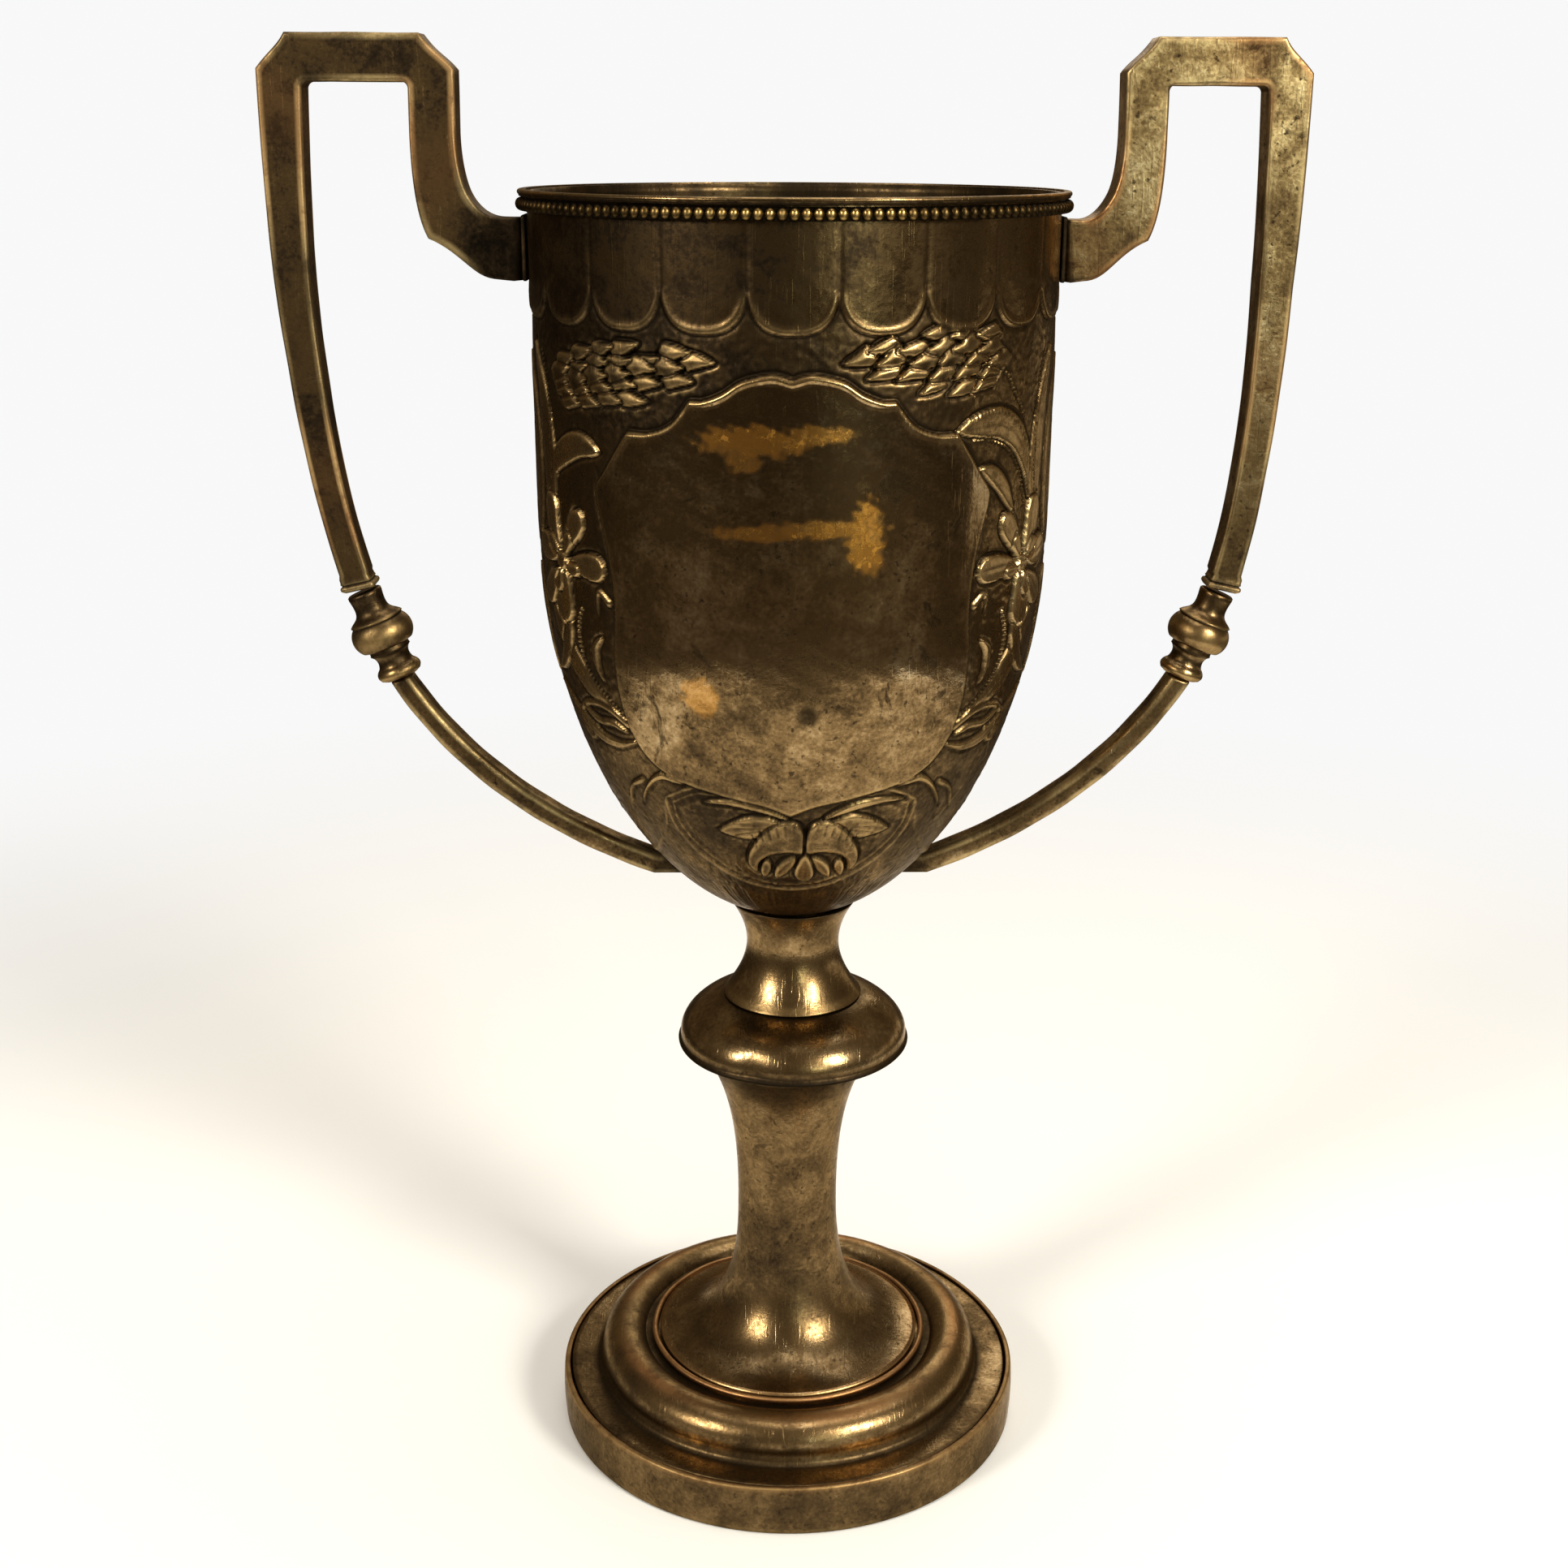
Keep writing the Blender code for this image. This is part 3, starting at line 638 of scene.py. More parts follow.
def chase_flower(c, rng):
    """Open flower: six broad round petals, a small whorl over them, and a curled heart."""
    for root, bend, tip, half in FLOWER:
        petal = flat([root, bend, tip]) + rng.uniform(-0.3, 0.3, (3, 2))
        top = 0.22 if half > 2 else 0.34
        c.ribbon(None, half, top, PETAL, base=top - 0.26, groove=0.55, crease=0.05, dome=0.55,
                 rim=0.03, raised=1.0, curve=curve_through(petal, 6))
    middle = flat([(58.6, 199.0)])[0]
    where = c.window(middle[None], 3.2)
    far = np.hypot(c.u[where] - middle[0], c.v[where] - middle[1])
    around = np.arctan2(c.v[where] - middle[1], c.u[where] - middle[0])
    seeds = np.cos(around * 5 + far * 2.0) * 0.10
    c.lay(where, far - 1.7, 0.36 + seeds, 0.36)


def chase_growth(c, long_side):
    """Stems and leaves between the shield and the handle."""
    stem = {"shape": LEAF, "crease": 0.05, "dome": 0.35, "raised": 0.9}
    if long_side:
        c.ribbon([(44, 220.5), (51, 221.3), (58, 219), (63, 215.6), (66, 211.5)], 2.6, 0.02,
                 groove=0.3, **stem)
    else:
        c.ribbon([(35.6, 225.2), (43, 226.0), (49, 225.6), (55, 222.8), (59.6, 217), (61.4, 210.5)],
                 2.9, 0.02, groove=0.34, **stem)
        c.beads([(38, 226.9), (45, 228.2), (51, 227.3), (57, 223.6), (61, 217)], 0.95, 0.34, 0.06)
        c.beads([(40, 223.4), (46, 222.8), (52, 220.4), (56.5, 215.6), (58.6, 210)],
                0.95, 0.34, 0.02)
        c.ribbon([(42, 218.0), (46, 216.9), (50, 214.0), (54.2, 208.6)], 1.7, 0.04, LEAF,
                 crease=0.05, dome=0.4, groove=0.3, raised=0.9)
        c.beads([(46, 236.6), (50, 234.4), (53, 231), (57.6, 226.5)], 1.0, 0.42, 0.12)
    wide = {"crease": 0.05, "dome": 0.35, "groove": 0.26, "raised": 0.8}
    for points, half, top in (
            ([(64, 205), (64.5, 216), (67.5, 228), (73, 238.5)], 3.2, 0.06),
            ([(73, 202), (74, 214), (77, 226), (84, 236)], 3.4, 0.06),
            ([(90, 196), (90, 216), (90, 243.5)], 4.2, 0.10),
            ([(90, 198), (90, 184), (88, 168), (90, 150)], 2.8, 0.02),
            ([(77, 196), (80, 184), (84, 172)], 2.8, 0.04)):
        c.ribbon(points, half, top, **wide)
    c.beads([(64, 206), (62.8, 216), (63.8, 228), (68, 237)], 0.95, 0.32, -0.02)


def chase_below_flower(c):
    leaf = {"dome": 0.4, "groove": 0.3, "raised": 0.8}
    c.beads([(52, 191), (54.6, 186), (54.2, 180), (51, 176), (46, 172.6), (42.6, 171)],
            1.0, 0.42, 0.12)
    c.ribbon([(67, 190), (62, 182.5), (56, 176.4), (50.5, 173), (44.5, 170.6)], 2.6, 0.06,
             crease=0.06, **leaf)
    c.ribbon([(45.6, 186), (48.6, 183.6), (49, 180), (47.6, 177)], 0.95, 0.04, crease=0.05)
    c.ribbon([(42.4, 193), (45.6, 194.7), (46.4, 190)], 0.7, -0.12, HORN)
    c.ribbon([(58, 190), (60, 184), (66, 178), (73, 175)], 1.9, 0.02, crease=0.05, **leaf)


def chase_scrolls(c):
    """Leaf scrolls beside the foot of the shield and the horns that curl out from under it."""
    c.ribbon([(40.6, 168.4), (47, 171), (53, 171.6), (60, 170), (64, 166.4), (60, 163.4),
              (56.5, 166)], 0.75, 0.10, EVEN)
    c.ribbon([(40.5, 165.6), (48, 164.0), (56, 164.8), (66, 169), (74, 173)], 1.25, 0.14,
             crease=0.1)
    c.ribbon([(43, 167.2), (48, 168.3), (54, 168.0), (61, 170.2)], 0.8, 0.12)
    c.line([(61, 163), (59, 158), (55, 152.5), (49, 147.5)], -0.22, 0.55)
    c.line([(62, 163), (66, 158), (70, 152), (72, 145)], -0.15, 0.5)
    for i in range(9):
        a = 43.5 + i * 0.9
        c.line([(a, 160.4 - i * 0.2), (a + 0.7, 156.6 - i * 0.5)], 0.10, 0.22)
    c.ribbon([(29, 159.2), (35, 159.2), (40.5, 156.4), (46.6, 151.2)], 1.05, 0.22, HORN,
             crease=0.06)
    c.ribbon([(43, 157), (49, 154.4), (54, 149)], 0.7, 0.02, HORN)


def chase_lower_lobes(c):
    """Plain swelling lobes below the panel, drawn by one raised line."""
    c.line([(36.4, 153.4), (40, 147.6), (46, 143), (57, 138.4), (72, 135.4), (90, 134.4)],
           -0.26, 0.7)
    c.line([(37.6, 152.2), (41.6, 146.4), (47.6, 141.6), (58, 137), (73, 134.0), (90, 133.0)],
           0.12, 0.5)


def chase_vesica(c, shift):
    """Pointed oval panel under the shield. Two arched petals meet over a fan of small ones;
    they stand a few degrees to the right of the panel's middle."""
    edge, where = c.edge_of(VESICA, 4.0)
    c.raised[where] *= edge > 0
    c.h[where] = np.where(edge < 0, GROUND - 0.05, c.h[where])
    c.h[where] += 0.26 * bell(edge - 0.6, 0.40) + 0.16 * bell(edge + 0.9, 0.35)
    out = np.abs(c.a[where[1]] - shift)[None, :]
    c.h[where] += 0.24 * smoothstep((-edge - 1.6) / 1.4) * smoothstep((out - 17.0) / 6.0)

    def put(points, mirror):
        return [(shift + mirror * a, z) for a, z in points]

    for mirror in (-1, 1):
        c.ribbon(put([(5, 152.2), (12, 154.4), (20, 155.4), (28, 155.0)], mirror), 0.8, 0.04, LEAF,
                 crease=0.08, groove=0.3)
        c.ribbon(put([(6.0, 150.4), (15.0, 149.8), (25.0, 148.8)], mirror), 2.7, 0.16, LEAF,
                 crease=0.05, groove=0.34, base=-0.04, dome=0.45, rim=0.03, raised=0.4)
        for k in (-0.6, 0.0, 0.6):
            c.line(put([(13.0, 150.0 + k), (20.0, 149.4 + 2.4 * k)], mirror), 0.22, 0.25)
    for mirror in (-1, 1):
        arch = joined(curve_through([(0.5, 143.8), (0.2, 147.0), (1.4, 150.4), (5.0, 151.6),
                                     (9.5, 150.2), (13.6, 147.4), (16.8, 144.2), (18.0, 141.0),
                                     (15.8, 138.4)], 4),
                      curve_through([(15.8, 138.4), (14.6, 141.2), (11.6, 143.2), (7.6, 144.1),
                                     (3.6, 144.2), (0.5, 143.8)], 4))
        c.outline(np.array(put(arch, mirror)), 0.26, 0.05, 0.5, 0.36, 0.4)
        for k in range(6):
            a = 3.4 + k * 2.4
            top = 150.9 - 0.05 * (k * 2.4) ** 1.6
            c.line(put([(a, top), (a * 0.94, top - 2.0 - 0.5 * (k % 2))], mirror), 0.34, 0.26)
        c.ribbon(put([(11.8, 142.0), (12.6, 139.6), (13.6, 137.4)], mirror), 1.0, 0.10, SCALE,
                 crease=0.06, groove=0.3)
        c.ribbon(put([(2.8, 142.8), (6.2, 140.2), (9.4, 137.4)], mirror), 1.3, 0.20, SCALE,
                 crease=0.08, groove=0.3, rim=0.04)
    c.ribbon(put([(0.4, 143.4), (0.5, 140.0), (0.6, 136.4)], 1), 2.3, 0.16, PETAL, crease=0.06,
             groove=0.34, dome=0.45, rim=0.03)


def chased_quarter(long_side, seed):
    rng = np.random.default_rng(seed)
    c = Chasing()
    chase_lower_lobes(c)
    chase_growth(c, long_side)
    chase_below_flower(c)
    chase_scrolls(c)
    chase_flower(c, rng)
    if long_side:
        chase_cone(c, (15.6, 237.6), (58.0, 232.0), 5.2, -0.10, rng)
    else:
        chase_cone(c, (9.8, 237.6), (51.0, 236.6), 5.4, -0.28, rng)
    chase_lappets(c)
    chase_vesica(c, -4.3 if long_side else 4.3)
    chase_shield(c)
    return c


def blurred(field, width):
    """Gaussian blur of a field that closes round its columns."""
    pad = 24
    tall = np.pad(field, ((pad, pad), (0, 0)), mode="edge")
    fy = np.fft.fftfreq(tall.shape[0])[:, None]
    fx = np.fft.rfftfreq(tall.shape[1])[None, :]
    keep = np.exp(-2 * (np.pi * width) ** 2 * (fx * fx + fy * fy))
    return np.fft.irfft2(np.fft.rfft2(tall) * keep, s=tall.shape)[pad:-pad]


def all_round(right, left):
    """Four quarters as one band. The back repeats the front."""
    front = np.hstack([left[:, :0:-1], right])              # a = -90 ... 90
    back_right = right[:, -2::-1]                           # a = 90 ... 180, past the corner
    back_left = left[:, :-1]                                # a = -180 ... -90, before it
    return np.hstack([back_left, front, back_right[:, :-1]])


def build_bowl():
    right, left = chased_quarter(False, 3), chased_quarter(True, 8)
    height, shield, raised = (all_round(getattr(right, field), getattr(left, field))
                              for field in ("h", "shield", "raised"))
    z = right.z
    a = -180.0 + np.arange(COLUMNS) * 360.0 / COLUMNS
    aa, vv = np.meshgrid(a, z)
    stipple = blurred(np.random.default_rng(11).normal(0, 1, height.shape), 1.2)
    ground = smoothstep((0.0 - height) / 0.3)
    height = height + stipple * (0.02 + 0.10 * ground) * (1 - shield)
    height = height + hand_work(aa, vv) * (1 - ground)

    near, wide = blurred(height, 0.55 / RELIEF_STEP), blurred(height, 1.9 / RELIEF_STEP)
    hollow = smoothstep((wide - height) / 0.42 + 0.10)
    ridge = smoothstep((height - near) / 0.11 - 0.12)

    # outside rows from the mouth down, the relief rows among them
    above = np.linspace(MOUTH, RELIEF_TOP + 0.8, 12)
    below = np.linspace(RELIEF_LOW - 0.8, BOWL_BASE, 12)
    rows = np.concatenate([above, z, below])
    full = np.vstack([height[:1] * np.linspace(0, 0.9, len(above))[:, None], height,
                      height[-1:] * np.linspace(0.8, 0, len(below))[:, None]])
    radius = wall_radius(rows)
    slope = np.clip(np.gradient(radius, rows), 0.0, 3.0)
    nr, nz = 1 / np.hypot(1, slope), -slope / np.hypot(1, slope)
    out_r = radius[:, None] + nr[:, None] * full
    out_z = rows[:, None] + nz[:, None] * full
    out_z[-1] = BOWL_BASE

    # inside rows from the mouth down, with the chasing showing through from behind
    floor = BOWL_BASE + 2 * BOWL_WALL
    inner_z = np.concatenate([np.linspace(MOUTH, SHOULDER, 40),
                              np.linspace(SHOULDER, floor, 56)[1:]])
    fall = np.clip((SHOULDER - inner_z) / (BOWL_DROP - BOWL_WALL), 0, 0.9999)
    inner_r = (BOWL_RADIUS - BOWL_WALL) * np.sqrt(1 - fall ** 2)
    soft = blurred(height, 0.85 / RELIEF_STEP)
    back = np.array([soft[np.argmin(abs(z - level))] * (RELIEF_LOW < level < RELIEF_TOP)
                     for level in inner_z])
    in_r = inner_r[:, None] + back * 0.8
    in_z = np.repeat(inner_z[:, None], COLUMNS, axis=1)
    theta = np.radians(a + PATTERN_TURN)[None, :]

    front = np.abs(aa) < 90
    grime = np.clip(hollow * 0.85 * (1 - shield), 0, 1)
    grime = np.maximum(grime, hollow * 0.3)
    grime = np.maximum(grime, dark_spots(aa, vv) * shield * front)
    flank = smoothstep((np.abs(aa) - 36) / 8)
    wear = np.clip(ridge * (0.50 - 0.22 * flank) + raised ** 2 * 0.50 * (1 - hollow), 0, 1)
    wear *= 1 - 0.6 * smoothstep((vv - 241) / 6)

    def outside(relief):
        """A field of the relief rows, 0 on the plain rows above and below them."""
        return np.pad(relief, ((len(above), len(below)), (0, 0)))

    def whole(outer, inner=0.0):
        return np.vstack([np.broadcast_to(inner, in_r.shape), outer])

    # The bowl's tone with its painted light and shade, and raised leaves and petals made lighter as
    # worn brass
    shade = bowl_shade(*np.meshgrid(a, rows), outside(shield)) + 0.22 * outside(raised)
    rings = spun(np.vstack([in_r[::-1], out_r]), theta, np.vstack([in_z[::-1], out_z]))
    lofted("cup_bowl", "bowl_silver", rings, BOWL_PLATE, "bowl",
           [(0.0, 0.0, floor), (0.0, 0.0, BOWL_BASE)], 0.3,
           grime=whole(outside(grime), streaked_inside(theta)), wear=whole(outside(wear)),
           warm=whole(outside(orange_patches(aa, vv) * front * shield)), shade=whole(shade))


def hand_work(a, z):
    """Faint waves and shallow dents left in the wall; the largest are low on the shield."""
    u = np.radians(a) * BOWL_RADIUS
    wave = 0.016 * np.sin(u * 0.55 + 2 * np.sin(z * 0.11)) * np.sin(z * 0.42 + u * 0.2)
    wave += 0.010 * np.sin(u * 1.3 + z * 0.7) * np.sin(z * 0.9 - u * 0.5)
    across = 1.0 - 2.1 * bell(a - 1.0, 9.0) + 0.5 * bell(np.abs(a) - 27.0, 8.0)
    fall = (z - 179.5) * bell(z - 179.5, 8.0)
    return wave + 0.030 * across * fall * (np.abs(a) < 60)


def bowl_shade(a, z, shield):
    """Tone added to the bowl from place to place. The shield is cleaner than the rest; the other
    terms are painted light and shade: darker low on the shield, low on the flanks, on the left of
    the upper wall, over the middle of the upper wall, over the cones and low in the middle;
    lighter on the right flank and on the top of the shield.
    """
    shade = 0.20 * shield - 0.07 * (1 - shield)
    low = smoothstep((190.0 - z) / 14.0)
    shade -= 0.14 * shield * low
    flank = smoothstep((np.abs(a) - 30.0) / 15.0) * smoothstep((175.0 - z) / 20.0)
    shade -= 0.13 * flank * (1 - shield)
    side = np.where(np.abs(a) < 90, a, 0.0)
    shade -= 0.22 * smoothstep((-side - 4.0) / 22.0) * smoothstep((z - 222.0) / 14.0)
    shade += 0.11 * smoothstep((side - 32.0) / 10.0) * smoothstep((z - 170.0) / 20.0)
    shade -= 0.09 * bell(side, 14.0) * smoothstep((z - 236.0) / 8.0)
    shade -= 0.08 * bell(np.abs(side) - 30.0, 16.0) * bell(z - 236.5, 6.0)
    shade -= 0.09 * smoothstep((160.0 - z) / 8.0) * bell(side, 40.0)
    shade += 0.05 * shield * smoothstep((z - 208.0) / 12.0)
    return shade


def streaked_inside(theta):
    """Darkens the inside of the cup, more along some streaks round it than others."""
    waves = sum(np.sin(n * theta + n * n) for n in (7, 13, 19, 31, 47)) / 5
    return 0.55 + 0.30 * smoothstep(waves + 0.5)


def orange_patches(a, z):
    """Where polishing has gone through the plate on the shield, with ragged edges."""
    u = np.radians(a) * BOWL_RADIUS
    ragged = 0.20 * np.sin(u * 1.1 + 3 * np.sin(z * 0.5)) * np.sin(z * 1.3 + u * 0.3)
    ragged += 0.12 * np.sin(u * 2.3 + z) * np.sin(z * 2.1 - u)
    total = np.zeros_like(a)
    for centre_a, centre_z, half_a, half_z, strength in (
            (-8.0, 224.6, 10.5, 2.6, 0.85), (5.0, 225.8, 6.0, 1.6, 0.7),
            (-9.5, 221.4, 3.2, 2.2, 0.8), (15.0, 207.4, 3.6, 6.0, 0.9),
            (6.0, 209.4, 11.0, 1.5, 0.8), (-6.0, 208.6, 9.0, 1.3, 0.7),
            (-20.0, 177.6, 4.0, 3.4, 0.35)):
        far = np.hypot((a - centre_a) / half_a, (z - centre_z) / half_z) + ragged
        total = np.maximum(total, strength * smoothstep((1.30 - far) / 0.5))
    return total


def dark_spots(a, z):
    """Two stains low on the shield and the tarnish of its middle."""
    total = np.zeros_like(a)
    for centre_a, centre_z, radius, strength in ((3.6, 175.0, 1.9, 0.8), (-8.4, 174.6, 3.4, 0.35)):
        far = np.hypot(np.radians(a - centre_a) * 48.0, z - centre_z) / radius
        total = np.maximum(total, strength * smoothstep(1.5 - far))
    return total


# ---------------------------------------------------------------- mouth

def build_mouth():
    lip_radius, low, high = turned_size("rim_lip_ring")
    inner = BOWL_RADIUS + 0.3
    edge = 0.5
    section = joined([(inner, low), (lip_radius - 0.3, low)],
                     arc((lip_radius - edge, high - edge), edge, -60, 90, 6),
                     [(inner, high)])
    uneven = ripple(5, 5, 2, 9)
    turned("rim_lip_ring", "bowl_silver", refined(softened(section, 0.12), 0.6), BOWL_PLATE, 360,
           lambda t, r, z: uneven(t) * 0.08, name="rim_lip",
           grime=lambda t, r, z: 0.75 * smoothstep((high - 0.45 - z) / 0.5),
           wear=lambda t, r, z: 0.30 * smoothstep((z - high + 0.4) / 0.3) * (r > inner + 0.6),
           shade=lambda t, r, z: -0.06)
    build_beads(inner)


def build_beads(inner):
    """Wire of small beads soldered round the mouth, one closed ring."""
    crest, low, high = turned_size("rim_bead_wire")
    count, per, radius = 160, 12, 0.95
    middle, tall = (low + high) / 2, (high - low) / 2 - 0.02
    step = np.arange(count * per)
    angle = np.radians(step * 360.0 / (count * per))
    pitch = 2 * math.pi * (crest - radius) / count
    beat = ((step % per + 0.5) / per - 0.5) * pitch
    size = np.sqrt(np.clip(1 - (beat / (radius * 1.02)) ** 2, 0.0, 1.0)) * radius
    size = np.maximum(size, 0.2)
    base = crest - radius - 0.25
    level = np.ones(len(step))
    rows = [(inner * level, low * level, 0.0), (base * level, low * level, 0.0)]
    for b in np.radians(np.linspace(-90, 90, 15)):
        rows.append((base + 0.25 * size / radius + size * math.cos(b),
                     middle + size / radius * tall * math.sin(b), math.cos(b)))
    rows += [(base * level, high * level, 0.0), (inner * level, high * level, 0.0)]
    r, z, top = (np.array(column) for column in zip(*rows))
    theta = angle[None, :] + 0 * r
    share = top[:, None] * (size / radius)[None, :]
    # Painted light: beads that face the front, and less so those at the back, are lighter and keep
    # their rubbed highlight; the beads at the sides are darkened
    painted_front_light = 0.25 + 0.75 * bell(np.sin(theta / 2), 0.30) + 0.5 * bell(np.cos(theta / 2), 0.3)
    painted_front_light = np.clip(painted_front_light, 0.0, 1.0)
    piece("rim_beads", "rim_bead_wire", "bare_brass", spun(r, theta, z),
          strip_faces(len(r), len(step), True), BEAD_BRASS,
          grime=smoothstep((0.80 - share) / 0.45),
          wear=smoothstep((share - 0.85) / 0.15) * 0.55 * painted_front_light ** 2,
          shade=(painted_front_light - 1.0) * 0.80 + 0 * share)


# ---------------------------------------------------------------- stem

def build_stem():
    collar_radius, collar_low, collar_high = turned_size("stem_collar")
    upper = bezier((13.2, collar_high), (11.0, 118.5), (9.75, 115.0), (9.75, 112.0), 14)
    lower = bezier((9.75, 112.0), (9.75, 108.0), (11.8, 103.8), (collar_radius, collar_low), 18)
    outer = joined(upper, lower)
    section = softened(np.vstack([outer, outer[::-1] - (SHEET, 0)]), 0.35)
    uneven = ripple(21, 4, 2, 5)
    # Painted light: the flared lower part of the collar is given a lighter tone. The dark lines at
    # its top and bottom joints are patina.
    turned("stem_collar", "stem_silver", refined(section, 1.2), STEM_PLATE, 160,
           lambda t, r, z: uneven(t) * 0.06 + 0.5 * np.sin(t),
           grime=lambda t, r, z: 0.8 * bell(z - collar_high, 0.7)
           + 0.3 * bell(z - collar_low, 0.35),
           wear=lambda t, r, z: 0.35 * bell(z - collar_low - 0.9, 0.7),
           shade=lambda t, r, z: -0.02 + 0.09 * smoothstep((112.0 - z) / 5.0))

    knop_radius, knop_low, knop_high = turned_size("stem_knop")
    rim = knop_radius - 0.2
    outer = joined([(11.5, knop_high)],
                   bezier((14.9, knop_high), (19.8, 98.3), (24.9, 94.4), (rim, 90.2), 26),
                   bezier((rim, 90.2), (25.9, 88.7), (23.6, 88.8), (20.4, 88.5), 14),
                   [(18.4, 87.4), (17.9, 86.4), (17.6, knop_low), (16.4, knop_low)])
    inner = thickened(outer, SHEET)[len(outer):]
    inner[:, 1] = np.clip(inner[:, 1], knop_low + SHEET, knop_high - SHEET)
    uneven_knop = ripple(9, 5, 2, 5)

    def beaten(t, r, z):
        """Out of round with one dent in its front, and seated a little off the axis."""
        dent = -0.5 * bell(np.angle(np.exp(1j * (t + 0.35))), 0.16) * bell(z - 92, 3.0)
        return uneven_knop(t) * 0.16 + dent + 0.7 * np.sin(t)

    # Painted shade: the lower edge and underside of the knop are darkened and given a blacker tone.
    # The dark ring at its top, where it meets the collar, is patina at the joint.
    turned("stem_knop", "stem_silver", refined(np.vstack([outer, inner]), 1.2), STEM_PLATE, 220,
           beaten,
           grime=lambda t, r, z: 0.75 * bell(r - 14.6, 1.3) * (z > 97)
           + 0.55 * smoothstep((90.3 - z) / 0.8) + 0.35 * smoothstep((92.2 - z) / 1.6),
           warm=lambda t, r, z: bell(np.hypot(r - 22.6, z - 88.8), 0.8),
           shade=lambda t, r, z: 0.18 - 0.40 * smoothstep((92.0 - z) / 2.6))

    column_radius, _, column_high = turned_size("stem_column")
    top_r = 17.7
    column = joined(bezier((top_r, column_high), (14.2, 79.6), (10.7, 71.5), (10.9, 50.6), 30),
                    bezier((10.9, 50.6), (10.9, 33.0), (14.5, 20.5), (column_radius, 18.6), 44))
    section = thickened(column, SHEET)
    section[-1] = (section[-1][0] - 0.3, column_high)
    uneven_column = ripple(31, 5, 2, 4)
    # Painted light and shade: the top of the column, under the knop, is darkened; the lower flare
    # is given a lighter tone and the narrow waist a slightly darker one.
    turned("stem_column", "stem_silver", refined(section, 1.4), STEM_PLATE, 200,
           lambda t, r, z: (uneven_column(t + z * 0.02) * 0.12
                            - 0.38 * np.sin(t) * smoothstep((z - 25) / 25)),
           grime=lambda t, r, z: 0.7 * smoothstep((z - 77) / 8)
           + 0.35 * bell(r - 21, 3.0) * (z < 30),
           wear=lambda t, r, z: 0.3 * smoothstep((r - 27.8) / 1.0),
           shade=lambda t, r, z: 0.17 * smoothstep((r - 13.0) / 7.0) * (z < 40)
           - 0.05 * smoothstep((14.0 - r) / 3.0),
           warm=lambda t, r, z: 0.25 * smoothstep((r - 27.0) / 1.5) * (z < 30))

    wire_radius, wire_low, wire_high = turned_size("column_edge_wire")
    half = (wire_high - wire_low) / 2
    centre = (wire_radius - half, (wire_low + wire_high) / 2)
    uneven_wire = ripple(44, 6, 2, 12)
    turned("column_edge_wire", "copper_wire", arc(centre, half, 0, 360, 16)[:-1], COPPER_EDGE, 256,
           lambda t, r, z: uneven_wire(t) * 0.12, lambda t, r, z: uneven_wire(t + 1) * 0.08,
           name="column_edge",
           grime=lambda t, r, z: 0.5 * smoothstep((centre[1] - z) / half),
           wear=lambda t, r, z: 0.3 * smoothstep((z - centre[1]) / half),
           warm=lambda t, r, z: 0.5)


# ---------------------------------------------------------------- foot

def build_foot():
    flange = turned_size("foot_dome")[0]
    outer = joined([(4.0, 17.0), (31.0, 17.0)],
                   arc((36.6, 13.8), 5.4, 143.6, -10, 40),
                   arc((43.5, 12.0), 1.3, 200, 270, 8),
                   [(flange - 0.3, 10.7), (flange, 10.55)])
    section = refined(softened(thickened(outer, SHEET), 0.3), 1.0)
    uneven = ripple(61, 6, 2, 7)
    sag = ripple(62, 4, 2, 5)
    turned("foot_dome", "foot_silver", section, FOOT_PLATE, 300,
           lambda t, r, z: uneven(t) * 0.22 * smoothstep((r - 25) / 12),
           lambda t, r, z: sag(t) * 0.12 * smoothstep((r - 35) / 10),
           grime=lambda t, r, z: 0.85 * bell(r - 31.3, 1.6) * (z > 12) + 0.8 * bell(r - 43.0, 1.0)
           + 0.5 * bell(r - 49.6, 0.8),
           wear=lambda t, r, z: 0.25 * bell(r - 36.5, 3.0) * (z > 14),
           warm=lambda t, r, z: 0.7 * bell(r - 37.6, 1.4) * (z > 14) * (0.6 + 0.4 * np.sin(5 * t)))

    radius, low, high = turned_size("foot_band")
    foot = radius - 0.3
    lip = 46.6
    wall = foot - 1.2
    section = joined([(lip, low), (foot - 0.2, low)],
                     bezier((foot, low + 0.4), (foot + 0.3, 4.0), (foot + 0.3, 8.0),
                            (foot, high - 0.3), 12),
                     [(foot - 0.3, high), (wall, high), (wall, low + 1.2), (lip, low + 1.2)])
    out_of_round = ripple(71, 6, 2, 7)
    turned("foot_band", "foot_silver", refined(softened(section, 0.25), 0.9), FOOT_PLATE, 360,
           lambda t, r, z: out_of_round(t) * 0.28 * smoothstep(z / 6),
           grime=lambda t, r, z: 0.35 * bell(z - low, 0.7) + 0.2,
           wear=lambda t, r, z: 0.6 * bell(z - high, 0.5) * (r > wall + 0.5)
           + 0.35 * bell(z - low - 0.5, 0.5),
           warm=lambda t, r, z: 0.35 * bell(z - high, 0.7))


# ---------------------------------------------------------------- handles

STRAP_FOOT = 188.0
HANDLE_TOP = 292.5
BALUSTER_TILT = math.radians(21.1)
LEAN = 1.55                     # the left strap leans out and the right one in by this much
OUTER_LEG = 78.0                # beyond this distance from the axis a strap is its outer leg
TAIL_GAP = 0.35                 # left between a tail and the bowl's wall


